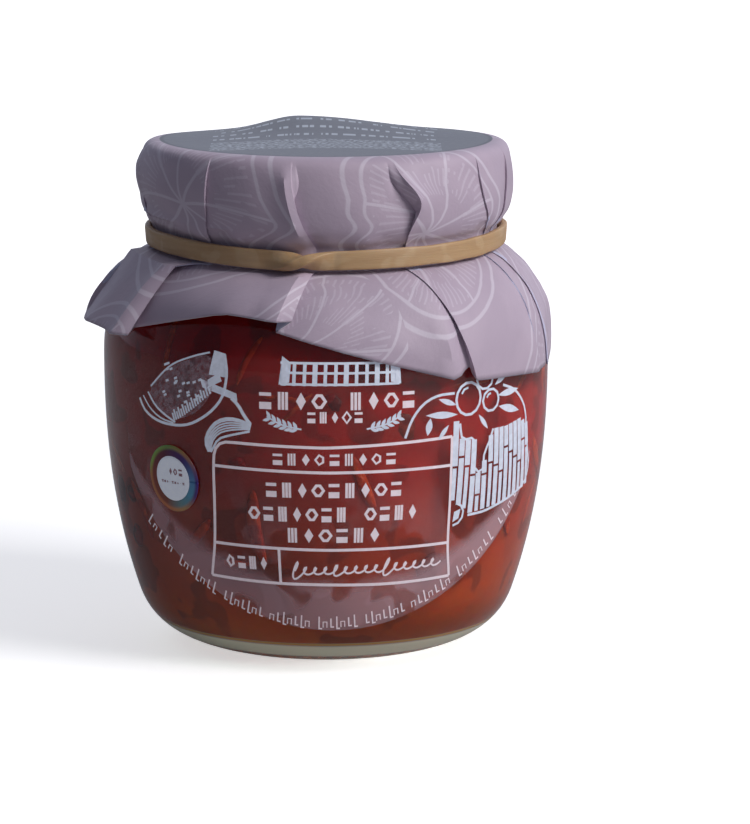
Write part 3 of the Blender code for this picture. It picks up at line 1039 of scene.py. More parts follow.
@dataclass
class Contents:
    """Marmalade up to the neck, with the fruit that shows against the glass.

    The marmalade reaches just into the wall, so that no air shows between the two, and the fruit
    stands a little further into it.
    """

    reach: float = 0.35
    level: float = 59.8
    fruit_reach: float = 0.2
    fruit_heights: tuple[float, float] = (8.0, 46.0)
    fruit_limits: tuple[float, float] = (5.0, 49.0)
    columns: int = 144
    seed: int = 7
    kinds: dict[str, tuple[int, tuple[float, float, float], float, FruitFinish]] = field(
        default_factory=lambda: {
            "raisins": (9, (2.3, 1.6, 0.9), 0.2,
                        FruitFinish("raisin_finish", srgb(112, 26, 20), srgb(132, 40, 26))),
            "cranberries": (10, (2.0, 1.5, 0.8), 0.15,
                            FruitFinish("cranberry_finish", srgb(140, 6, 12), srgb(100, 4, 8))),
            "peel_strips": (20, (4.2, 0.8, 0.35), 0.12,
                            FruitFinish("peel_finish", srgb(196, 62, 20), srgb(168, 40, 14))),
            "carrot_shreds": (18, (3.6, 0.45, 0.3), 0.1,
                              FruitFinish("carrot_finish", srgb(206, 66, 16), srgb(176, 44, 12))),
        }
    )

    def build(self) -> None:
        """Build the marmalade and each kind of fruit."""
        side = JAR.side(JAR.wall - self.reach, JAR.floor - self.reach, JAR.bore + self.reach)
        top_radius = np.linspace(JAR.bore + self.reach, 0.3, 10)
        top = np.stack([top_radius, self.level - 0.5 * (1 - (top_radius / JAR.bore) ** 6)], axis=-1)
        bottom = np.array([[0.3, JAR.floor + 0.15], [7.0, JAR.floor]])
        surface = turned(np.vstack([bottom, side, top]), self.columns)
        add_piece("marmalade_fill", surface.mesh("marmalade_fill"), [FillFinish().make()],
                  ("marmalade",), sharp=60.0)
        draw = np.random.default_rng(self.seed)
        for name, (count, size, rough, finish) in self.kinds.items():
            self.scatter(name, count, size, rough, finish, draw)

    def scatter(self, name: str, count: int, size: tuple[float, float, float], rough: float,
                finish: FruitFinish, draw: np.random.Generator) -> None:
        """Lay bits of one kind against the glass.

        Each bit is an ellipsoid, bent along its length and wrinkled, turned at random in the wall's
        own plane.

        Args:
            name: name of the piece.
            count: how many bits.
            size: half length along, half width across and half depth through.
            rough: depth of the wrinkles as a share of the size.
            finish: its finish.
            draw: where random numbers come from.
        """
        rows, columns = 9, 14
        u = np.linspace(0.12, math.pi - 0.12, rows)[None, :, None]
        v = np.linspace(0.0, math.tau, columns, endpoint=False)[None, None, :]
        scale = draw.uniform(0.7, 1.2, (count, 1, 1))
        phase = draw.uniform(0, math.tau, (count, 3, 1, 1))
        dent = 1.0 + rough * np.sin(4 * v + phase[:, 0]) * np.sin(3 * u + phase[:, 1])
        long = size[0] * scale * np.cos(u) * (1.0 + 0.0 * v)
        wide = size[1] * scale * dent * np.sin(u) * np.cos(v)
        wide = wide + 0.12 * size[0] * np.sin(phase[:, 2]) * (long / size[0]) ** 2
        deep = size[2] * dent * np.sin(u) * np.sin(v)
        turn = draw.uniform(0, math.tau, (count, 1, 1))
        azimuth = np.degrees(draw.uniform(0, math.tau, (count, 1, 1)))
        height = draw.uniform(*self.fruit_heights, (count, 1, 1))
        along = long * np.cos(turn) - wide * np.sin(turn)
        up = long * np.sin(turn) + wide * np.cos(turn)
        z = np.clip(height + up, *self.fruit_limits)
        skin = JAR.radius(z) - JAR.wall + self.reach + self.fruit_reach
        radius = np.minimum(skin - size[2] + deep, skin)
        points = place(azimuth + np.degrees(along / 26.0), radius, z)
        surface = Surface()
        for bit in points:
            surface.grid(bit, False, True, poles=(True, True))
        add_piece(name, surface.mesh(name), [finish.make()])


@dataclass
class Lid:
    """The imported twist-off lid, kept as it is under the paper."""

    def build(self) -> None:
        """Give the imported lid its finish."""
        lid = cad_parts["lid"]
        finish = LidFinish().make()
        for slot in lid.material_slots:
            slot.material = finish
        log.info("lid: dressed")


# ---------------------------------------------------------------- paper cover


@dataclass(frozen=True)
class Pleat:
    """One fold of the cover.

    Attributes:
        rim, band: azimuths of its crease at the top edge and at the rubber band.
        over: 1 where the panel on the left lies over the one on the right, -1 the other way.
        left, right: hem corners of the two panels, as azimuth, radius and height.
        bow: how far the crease swings half way down the drum, in degrees.
        gape, gape_at: how far the fold stands open, and where down the drum.
        drum, skirt: how deep the fold is above and below the band.
        height: how much higher than the others its upper layer stands, half way down the drum.
        ridge: how high the left panel is rolled up just before the fold.
        mid: a corner of the hem between this fold and the next one.
        sweep: how early the crease leaves its place at the band: small is early.
        knee: 1 where the panel on the left is bent sharply just below the band.
        roll: how high the left panel is rolled up just before the fold, below the band.
    """

    rim: float
    band: float
    over: float
    left: tuple[float, float, float]
    right: tuple[float, float, float]
    bow: float = 0.0
    gape: float = 0.0
    gape_at: float = 0.5
    drum: float = 1.0
    skirt: float = 0.8
    height: float = 1.0
    ridge: float = 0.0
    mid: tuple[float, float, float] | None = None
    sweep: float = 0.9
    knee: float = 0.0
    roll: float = 0.0


@dataclass
class PaperCover:
    """A square of printed paper, its corners cut off, gathered over the lid by the band.

    The sheet is a grid of columns from the middle to the free edge. Between two folds lies a panel
    of many columns, and at each fold a hidden layer runs back under it, so the cloth doubles over
    three times as gathered paper does.
    """

    flat_side: float = 100.0
    cut_area: float = 7700.0
    thickness: float = 0.13
    top: float = 65.0
    disc_radius: float = 21.3
    seat_radius: float = 21.7
    seat_bottom: float = 50.9
    seat_top: float = 53.7
    tent_rise: float = 2.1
    back_sag: float = 1.35
    panel_columns: int = 19
    lap_columns: int = 4
    skirt_rows: int = 30
    flattening: float = 0.55
    drum_lift: float = 0.75
    lid_clear: float = 23.25
    side_rise: float = 0.6
    rest_lift: float = 0.15
    puff: float = 0.28
    pucker: float = 0.5
    pucker_drop: float = 10.3
    drum_lap: float = 1.75
    skirt_lap: float = 1.69
    seat_lift: float = 0.52
    drum: tuple[tuple[float, float], ...] = (
        (21.3, 0.0), (22.2, 0.12), (22.95, 0.55), (23.35, 1.4), (23.5, 3.0), (23.6, 5.0), (23.55, 7.2),
        (23.3, 8.9), (22.6, 10.3), (21.9, 11.2), (21.7, 12.2), (21.7, 14.1),
    )
    knee_reach: float = 2.8
    pleats: tuple[Pleat, ...] = (
        Pleat(-84, -83, -1, (-88, 30.3, 43.2), (-84, 31.0, 42.6), mid=(-71, 32.0, 43.0), knee=0.9),
        Pleat(-38, -39.5, 1, (-54, 30.4, 42.3), (-57, 28.4, 42.9), drum=0.45, height=1.5, sweep=0.38,
              knee=1.0, mid=(-25.5, 29.2, 46.3), roll=1.5),
        Pleat(-10.5, -3, 1, (-8.5, 28.4, 45.6), (-12.5, 27.6, 44.2), ridge=0.7, gape=0.6, gape_at=0.3,
              skirt=0.75, mid=(32.5, 30.1, 37.9), roll=0.9),
        Pleat(20.5, 26, -1, (37.5, 28.3, 39.3), (38.4, 29.9, 37.6), bow=5.6, gape=1.1, gape_at=0.4,
              drum=1.1, height=2.6, skirt=0.6, ridge=0.15),
        Pleat(53, 64, -1, (64, 29.7, 36.9), (64.1, 29.65, 36.9), drum=0.35, skirt=0.04),
        Pleat(73, 71, -1, (75, 29.0, 37.3), (73, 29.3, 37.1), drum=0.35, skirt=0.3,
              mid=(88, 29.0, 40.6)),
        Pleat(105, 106, 1, (109, 30.2, 38.4), (106, 29.1, 38.9)),
        Pleat(134, 133, 1, (132, 31.2, 41.0), (129, 29.9, 41.5), mid=(147, 31.0, 42.9)),
        Pleat(158, 160, 1, (163, 30.6, 42.6), (160, 29.6, 42.2)),
        Pleat(188, 187, -1, (184, 29.9, 41.0), (187, 31.0, 40.6), mid=(200, 31.4, 39.2)),
        Pleat(212, 214, 1, (217, 31.2, 39.6), (214, 30.4, 40.2)),
        Pleat(246, 245, -1, (244, 30.2, 41.7), (247, 31.2, 41.2)),
    )

    def top_height(self, x: Array, y: Array) -> Array:
        """Height of the paper over the lid: a tent behind the centre, steeper on its left, and a
        back edge that hangs lower."""
        width = np.where(x < -3.5, 6.5, 14.0)
        tent = self.tent_rise * np.exp(-(((x + 3.5) / width) ** 2) - ((y - 12.0) / 9.0) ** 2)
        return self.top + tent - self.back_sag * np.clip(y / 23.65, 0.0, 1.0) ** 1.5

    def columns(self) -> dict[str, Array]:
        """Every column: its pleat, its share across the panel or lap, and which of the two it is."""
        count = len(self.pleats)
        laps = np.arange(1, self.lap_columns + 1) / (self.lap_columns + 1)
        panel = 0.5 - 0.5 * np.cos(np.linspace(0.0, math.pi, self.panel_columns))
        share = np.tile(np.concatenate([laps, panel]), count)
        is_panel = np.tile(np.concatenate([laps * 0, panel * 0 + 1]), count) > 0.5
        return {"pleat": np.repeat(np.arange(count), len(laps) + len(panel)), "share": share,
                "panel": is_panel}

    def table(self, which: str) -> Array:
        """One value of every pleat."""
        return np.array([getattr(pleat, which) for pleat in self.pleats], float)

    def edges(self, crease: Array, over: Array, half_lap: Array) -> tuple[Array, Array]:
        """Azimuth of the left panel's end and of the right panel's start, from the crease."""
        centre = crease - over * half_lap
        return centre + half_lap, centre - half_lap

    def across(self, columns: dict[str, Array], left: Array, right: Array, turned_over: float) -> Array:
        """Value of each column, between the panels' edge values.

        Args:
            columns: from columns().
            left: value at the left panel's end, for each pleat.
            right: value at the right panel's start, for each pleat.
            turned_over: added to the next pleat's value after the last one.

        Returns:
            Panels run evenly from right to the next left, and laps turn over by a half cosine.
        """
        pleat, share = columns["pleat"], columns["share"]
        following = (pleat + 1) % len(self.pleats)
        wrap = np.where(pleat + 1 == len(self.pleats), turned_over, 0.0)
        over_panel = right[pleat] + (left[following] + wrap - right[pleat]) * share
        over_lap = left[pleat] + (right[pleat] - left[pleat]) * (0.5 - 0.5 * np.cos(math.pi * share))
        return np.where(columns["panel"], over_panel, over_lap)

    def curl(self, nearness: Array) -> Array:
        """Rise of a panel towards its fold: a little early on and most of it at the very edge."""
        return 0.35 * smoothstep(nearness) + 0.65 * nearness**4

    def lift(self, columns: dict[str, Array], over: Array, height: Array, open_flank: Array) -> Array:
        """How high each column stands: 1 on an upper layer's edge, 0 on a lower one's.

        Args:
            columns: from columns().
            over: each pleat's side, times how deep it is.
            height: how high each pleat's upper layer stands.
            open_flank: 1 where the fold stands open, so that its side rises evenly.

        Returns:
            Lift from 0 to 1.
        """
        pleat, share = columns["pleat"], columns["share"]
        following = (pleat + 1) % len(self.pleats)
        rest = self.rest_lift
        left = rest + (height - rest) * np.maximum(over, 0.0) + rest * np.minimum(over, 0.0)
        right = rest - (height - rest) * np.minimum(over, 0.0) - rest * np.maximum(over, 0.0)
        start, end = right[pleat], left[following]
        from_start, to_end = np.clip(1.0 - share / 0.5, 0, 1), np.clip(share / 0.5 - 1.0, 0, 1)
        panel = rest + (start - rest) * self.curl(from_start) + (end - rest) * self.curl(to_end)
        upper, lower = np.maximum(left, right)[pleat], np.minimum(left, right)[pleat]
        climb = np.where(left[pleat] > right[pleat], 1.0 - share, share)
        tucked = 0.25 * climb + 0.75 * climb**8
        lap = lower + (upper - lower) * (tucked + (climb - tucked) * open_flank[pleat])
        return np.where(columns["panel"], panel, lap)

    def ridge(self, columns: dict[str, Array], which: str = "ridge", crest: float = 0.93) -> Array:
        """Rolled stretch before a fold: a slow rise to a crest and a quick fall to the edge."""
        height = self.table(which)[(columns["pleat"] + 1) % len(self.pleats)]
        share = columns["share"]
        rise = (share / crest) ** 7
        fall = 1.0 - (share - crest) / (1.0 - crest)
        return np.where(columns["panel"], height * np.where(share < crest, rise, fall), 0.0)

    def hem(self, columns: dict[str, Array]) -> tuple[Array, Array, Array]:
        """Azimuth, radius and height of the free edge at each column.

        A panel's cut is a straight line from corner to corner, through its middle corner if it has
        one, and a lap's joins the two corners beside it.

        Returns:
            The three arrays.
        """
        count = len(self.pleats)
        out = np.zeros((3, len(columns["share"])))
        for index, pleat in enumerate(self.pleats):
            following = self.pleats[(index + 1) % count]
            turn = 360.0 if index + 1 == count else 0.0
            corners = [pleat.right] + ([pleat.mid] if pleat.mid else []) + [following.left]
            corners = np.array(corners, float)
            corners[-1, 0] += turn
            here = (columns["pleat"] == index) & columns["panel"]
            azimuth = corners[0, 0] + (corners[-1, 0] - corners[0, 0]) * columns["share"][here]
            radius = np.interp(azimuth, corners[:, 0], corners[:, 1])
            span = np.clip(np.searchsorted(corners[:, 0], azimuth) - 1, 0, len(corners) - 2)
            width = np.radians(np.diff(corners[:, 0]))[span]
            part = (azimuth - corners[span, 0]) / np.degrees(width) - 0.5
            chord = np.cos(width / 2.0) / np.cos(width * part)
            radius = radius * (1.0 + (chord - 1.0) * self.flattening)
            out[:, here] = azimuth, radius, np.interp(azimuth, corners[:, 0], corners[:, 2])
            lap = (columns["pleat"] == index) & ~columns["panel"]
            share = columns["share"][lap][None, :]
            first, last = np.array([pleat.left]).T, np.array([pleat.right]).T
            out[:, lap] = first + (last - first) * share
        return out[0], out[1], out[2]

    def drum_rows(self, columns: dict[str, Array]) -> list[Array]:
        """Rows from the disc's rim to the bottom of the band's seat."""
        rows = []
        over, bow, gape = self.table("over"), self.table("bow"), self.table("gape")
        drum, skirt = self.table("drum"), self.table("skirt")
        rim, band = self.table("rim"), self.table("band")
        line = smooth_line(self.drum, 4)
        reach = self.top - self.seat_top
        ridge = self.ridge(columns)
        for radius, drop in line:
            down = min(1.0, drop / reach)
            middle = float(bump(np.array(down), 0.5, 0.28))
            opening = gape * bump(down, self.table("gape_at"), 0.8 * self.table("gape_at"))
            crease = rim + (band - rim) * down**2.2 + bow * middle
            depth = drum + (skirt - drum) * float(smoothstep(np.array((down - 0.7) / 0.3)))
            tall = 1.0 + (self.table("height") - 1.0) * float(bump(np.array(down), 0.42, 0.26))
            lap = -0.06 + self.drum_lap * down**1.5 * depth - opening
            lift = self.lift(columns, over * np.minimum(depth, 1.0), tall, np.clip(-2.0 * lap, 0.0, 1.0))
            left, right = self.edges(crease, over, np.degrees(lap / radius))
            azimuth = self.across(columns, left, right, 360.0)
            rise = float(smoothstep(np.array(drop / 3.5)))
            seat = float(smoothstep(np.array((down - 0.72) / 0.28)))
            height_of_lift = self.drum_lift * rise * (1.0 - seat) + self.seat_lift * seat
            tuck = float(bump(np.array(drop), self.pucker_drop, 1.2))
            pucker = lattice_noise(azimuth / 11, drop / 9, 5.0) * np.sin(np.radians(azimuth * 23.0))
            pucker = pucker * self.pucker * tuck
            swollen = np.where(columns["panel"], np.sin(math.pi * columns["share"]) ** 2, 0.0)
            puff = self.puff * middle * swollen
            taper = float(smoothstep(np.array((drop - 4.0) / 5.0))) * (1.0 - seat) * 0.8
            r = radius + height_of_lift * (lift + ridge * 1.2) + puff + pucker
            r = r - taper * bump(azimuth, -85.0, 38.0)
            r = np.maximum(r, self.lid_clear if drop < 9.3 and drop > 1.4 else 0.0)
            x, y, _ = np.moveaxis(place(azimuth, r, 0.0), -1, 0)
            sink = (self.top_height(x, y) - self.top) * (1.0 - down)
            rows.append(place(azimuth, r, self.top - drop + sink))
        return rows

    def skirt_rows_of(self, columns: dict[str, Array]) -> list[Array]:
        """Rows from the band to the free edge: each column is a cubic Bezier in radius and height
        that leaves the band outwards, bends over the shoulder and runs down to the hem."""
        azimuth, radius, height = self.hem(columns)
        over, depth = self.table("over"), self.table("skirt")
        lap = np.degrees(self.skirt_lap * depth / self.seat_radius)
        left, right = self.edges(self.table("band"), over, lap)
        start = self.across(columns, left, right, 360.0)
        ridge, roll = self.ridge(columns), self.ridge(columns, "roll", 0.9)
        ones = np.ones(len(over))
        lift = self.lift(columns, over * np.minimum(depth, 1.0), ones, 0.0 * ones) + ridge * 1.2
        sweep = self.across(columns, self.table("sweep"), self.table("sweep"), 0.0)
        bends = self.table("knee")[columns["pleat"]]
        knee = np.where(columns["panel"], np.where(columns["pleat"] == 0, bends, 0.0),
                        bends * (1.0 - columns["share"]))
        length = self.seat_bottom - height
        t = (np.arange(1, self.skirt_rows + 1) / self.skirt_rows)[:, None]
        ends = ((1 - t) ** 3, 3 * t * (1 - t) ** 2, 3 * t**2 * (1 - t), t**3)
        first = self.seat_radius + self.seat_lift * lift
        r_points = (first, self.seat_radius + 0.26 * length + 0.6 * lift,
                    radius + 0.25 - 0.22 * np.maximum(0.0, 10.0 - length), radius)
        z_points = (self.seat_bottom, self.seat_bottom - 0.12 * length + 0.7 * lift,
                    height + 0.55 * length, height)
        r = sum(weight * point for weight, point in zip(ends, r_points)) + ridge * 1.2 * t**0.7
        z = sum(weight * point for weight, point in zip(ends, z_points))
        out, down = np.clip(t / 0.3, 0.0, 1.0), np.clip((t - 0.3) / 0.7, 0.0, 1.0)
        bent_r = first + self.knee_reach * out
        bent_r = bent_r + (radius - first - self.knee_reach) * down
        bent_z = self.seat_bottom - 0.4 * out + (height - self.seat_bottom + 0.4) * down
        r, z = r + (bent_r - r) * knee + roll * np.minimum(1.0, 2.0 * t), z + (bent_z - z) * knee
        clear = JAR.radius(np.minimum(z, JAR.shoulder_top)) + 0.45 + 0.6 * lift
        r = np.maximum(r, clear)
        swing = start + (azimuth - start) * t**sweep
        return list(place(swing, r, z))

    def crumple(self, points: Array) -> Array:
        """Push the paper in and out by creased noise.

        The noise is folded at zero, so that its creases are sharp, and is read at the point's
        direction times its radius plus its drop, so that layers at one place move together.
        """
        radius = np.hypot(points[..., 0], points[..., 1])
        reach = radius + self.top - points[..., 2]
        x, y = (points[..., k] / np.maximum(radius, 0.01) * reach for k in (0, 1))
        creased = 0.5 - np.abs(lattice_noise(x / 7.5, y / 7.5, 2.0))
        fine = 0.5 - np.abs(lattice_noise(x / 3.2 + 9, y / 3.2, 4.0))
        amount = 0.15 * smoothstep((reach - 22.0) / 4.0) + 0.12 * smoothstep((reach - 37.0) / 6.0)
        push = amount * (creased + 0.35 * fine)
        outward = points * np.array([1.0, 1.0, 0.0])
        size = np.maximum(np.linalg.norm(outward, axis=-1, keepdims=True), 1.0)
        return points + outward / size * push[..., None]

    def build(self) -> None:
        """Build the sheet, its print map and its thickness."""
        columns = self.columns()
        drum = self.drum_rows(columns)
        disc = []
        first = drum[0]
        for share in np.linspace(0.0, 1.0, 12)[1:-1]:
            x, y = first[:, 0] * share, first[:, 1] * share
            disc.append(np.stack([x, y, self.top_height(x, y)], axis=-1))
        points = np.array(disc + drum + self.skirt_rows_of(columns))
        step = np.linalg.norm(np.diff(points, axis=0), axis=-1)
        start = np.hypot(points[0, :, 0], points[0, :, 1])
        out = np.vstack([start, start + np.cumsum(step, axis=0)])
        out = 0.4 * out + 0.6 * out.mean(axis=1, keepdims=True)
        beside = np.linalg.norm(np.roll(points, -1, axis=1) - points, axis=-1)
        travelled = np.cumsum(beside, axis=1) - beside
        turn = math.tau * travelled / beside.sum(axis=1, keepdims=True)
        zero = math.radians(self.pleats[0].rim)
        flat = np.stack([out * np.sin(turn + zero), -out * np.cos(turn + zero)], axis=-1)
        points = self.crumple(points)
        side = (points[..., 0] / self.seat_radius) ** 2
        points[..., 2] += self.side_rise * side * bump(points[..., 2], 52.3, 5.0)
        surface = Surface()
        surface.grid(points, False, True, flat=0.5 + flat / PaperFinish().sheet, poles=(True, False))
        mesh = surface.mesh("paper_sheet", recalculate=False)
        materials = [PaperFinish().make(),
                     PlainPaperFinish("paper_back_finish", srgb(196, 196, 222)).make(),
                     PlainPaperFinish("paper_edge_finish", srgb(240, 236, 242)).make()]
        sheet = add_piece("paper_sheet", mesh, materials, ("paper_cover",), sharp=32.0)
        add_wall(sheet, self.thickness, -1.0, inner=1, rim=2)
        side = self.flat_side * MM


# ---------------------------------------------------------------- rubber band


@dataclass
class RubberBand:
    """A flat strip round the neck, turned over once at the front and once at the back."""

    inner: float = 22.28
    thickness: float = 0.8
    width: float = 2.4
    height: float = 52.35
    corner: float = 0.35
    tilt: float = 0.10
    side_rise: float = 0.7
    twists: tuple[tuple[float, float], ...] = ((-7.5, 12.5), (158.0, 14.0))

    def build(self) -> None:
        """Carry a rounded rectangle round the neck, rolling half a turn at each twist."""
        azimuth = np.linspace(-180.0, 180.0, 360, endpoint=False)
        roll = np.zeros_like(azimuth)
        for centre, half in self.twists:
            roll += math.pi * smoothstep((azimuth - centre + half) / (2.0 * half))
        tilt = self.tilt * np.sin(np.radians(azimuth * 2.0 + 40.0))
        angle = np.linspace(0.0, math.tau, 28, endpoint=False)[:, None]
        thin = 0.5 * self.thickness * np.sign(np.cos(angle)) * np.abs(np.cos(angle)) ** self.corner
        wide = 0.5 * self.width * np.sign(np.sin(angle)) * np.abs(np.sin(angle)) ** self.corner
        turn = np.radians(azimuth)
        swell = 1.0 + 0.04 * lattice_noise(9.0 * np.cos(turn), 9.0 * np.sin(turn), 8.0)
        phase = roll + tilt
        thin = thin * (1.0 + 0.9 * np.sin(phase) ** 2)
        out = thin * swell * np.cos(phase) - wide * swell * np.sin(phase)
        up = thin * swell * np.sin(phase) + wide * swell * np.cos(phase)
        stand = 0.5 * self.thickness * np.abs(np.cos(phase)) + 0.5 * self.width * np.abs(np.sin(phase))
        wander = self.side_rise * np.sin(turn) ** 2 + 0.06 * np.sin(5.0 * turn)
        points = place(azimuth, self.inner + stand + out, self.height + wander + up)
        surface = Surface()
        surface.grid(points, True, True)
        add_piece("rubber_band_twisted", surface.mesh("rubber_band_twisted"), [RubberFinish().make()],
                  ("rubber_band",), sharp=50.0)


# ---------------------------------------------------------------- label


class Mark(Enum):
    """Ornaments that stand in for lettering."""

    LOZENGE = 0
    BLOCK = 1
    BARS = 2
    DIAMOND = 3


@dataclass
class InkDrawing:
    """Printed marks on the belly, in millimetres round it and up it.

    Strokes and fills are thin strips that follow the glass.
    """

    lift: float = 0.11
    thickness: float = 0.03
    step: float = 0.9
    surface: Surface = field(default_factory=Surface)

    def lay(self, flat: Array) -> None:
        """Put a grid of flat points on the belly."""
        self.surface.grid(JAR.on_belly(flat[..., 0], flat[..., 1], self.lift))

    def fill(self, first: Array, second: Array) -> None:
        """Fill between two lines with as many rows as the gap needs.

        Args:
            first, second: lines with the same number of points.
        """
        first, second = np.asarray(first, float), np.asarray(second, float)
        gap = np.linalg.norm(first - second, axis=1).max()
        rows = max(2, int(gap / self.step) + 2)
        t = np.linspace(0.0, 1.0, rows)[:, None, None]
        self.lay(first[None] * (1 - t) + second[None] * t)

    def stroke(self, points: Array, width: float, closed: bool = False, step: float = 0.0) -> None:
        """Draw a line of even width: two rows half a width each side of the path.

        Args:
            points: the path's corners.
            width: the line's width.
            closed: join its end to its start.
            step: spacing of its points, if not the drawing's own.
        """
        points = np.asarray(points, float)
        if closed:
            points = np.vstack([points, points[:1]])
        path = evenly(points, step or self.step)
        ahead = np.gradient(path, axis=0)
        if closed:
            ahead[0] = ahead[-1] = path[1] - path[-2]
        ahead /= np.maximum(np.linalg.norm(ahead, axis=1, keepdims=True), 1e-9)
        side = np.stack([-ahead[:, 1], ahead[:, 0]], axis=-1) * width / 2.0
        self.lay(np.stack([path + side, path - side]))

    def line(self, points: Array, width: float, steps: int = 6) -> None:
        """Draw a smooth curve through a few points."""
        self.stroke(smooth_line(points, steps), width)

    def ring(self, x: float, z: float, wide: float, tall: float, width: float) -> None:
        """Draw an ellipse."""
        angle = np.linspace(0.0, math.tau, 30)
        path = np.stack([x + wide * np.cos(angle), z + tall * np.sin(angle)], axis=-1)
        self.line(path, width, 1)

    def leaf(self, x: float, z: float, length: float, width: float, tilt: float) -> None:
        """Fill a pointed leaf: its half width is that of a sine over its length."""
        t = np.linspace(0.0, 1.0, 7)
        half = width / 2.0 * np.sin(math.pi * t)
        c, s = math.cos(math.radians(tilt)), math.sin(math.radians(tilt))
        along = t * length
        edges = [np.stack([x + along * c - side * half * s, z + along * s + side * half * c], axis=-1)
                 for side in (1.0, -1.0)]
        self.fill(*edges)

    def ornaments(self, row: tuple[float, float, float], tall: float, count: int, width: float,
                  skip: tuple[int, ...] = (), rise: float = 0.0) -> None:
        """Draw a row of ornaments of one height, where a line of words would be.

        Args:
            row: its left end, right end and middle height.
            tall: height of each ornament.
            count: how many places the row has.
            width: line width.
            skip: places left empty.
            rise: how far the ends stand above the middle.
        """
        left, right, middle = row
        pitch = (right - left) / count
        half, wide = tall / 2.0, pitch * 0.34
        for index in range(count):
            if index in skip:
                continue
            x = left + (index + 0.5) * pitch
            z = middle + rise * ((2.0 * (index + 0.5) / count - 1.0) ** 2)
            kind = Mark((index * 5 + count) % 4)
            if kind is Mark.LOZENGE:
                self.stroke([(x - wide, z), (x, z + half), (x + wide, z), (x, z - half)], width, True)
            elif kind is Mark.BLOCK:
                self.fill([(x - wide, z - half), (x + wide, z - half)],
                          [(x - wide, z - half * 0.2), (x + wide, z - half * 0.2)])
                self.stroke([(x - wide, z + half * 0.7), (x + wide, z + half * 0.7)], width)
            elif kind is Mark.BARS:
                for shift in (-0.6, 0.0, 0.6):
                    self.stroke([(x + shift * wide, z - half), (x + shift * wide, z + half)], width * 0.8)
            else:
                self.fill([(x - wide * 0.8, z), (x, z + half)], [(x, z - half), (x + wide * 0.8, z)])

    def object(self, name: str, finish: Finish) -> bpy.types.Object:
        """Turn everything drawn so far into a piece."""
        mesh = self.surface.mesh(name, recalculate=False)
        piece = add_piece(name, mesh, [finish.make()], smooth=False)
        add_wall(piece, self.thickness, 1.0)
        return piece


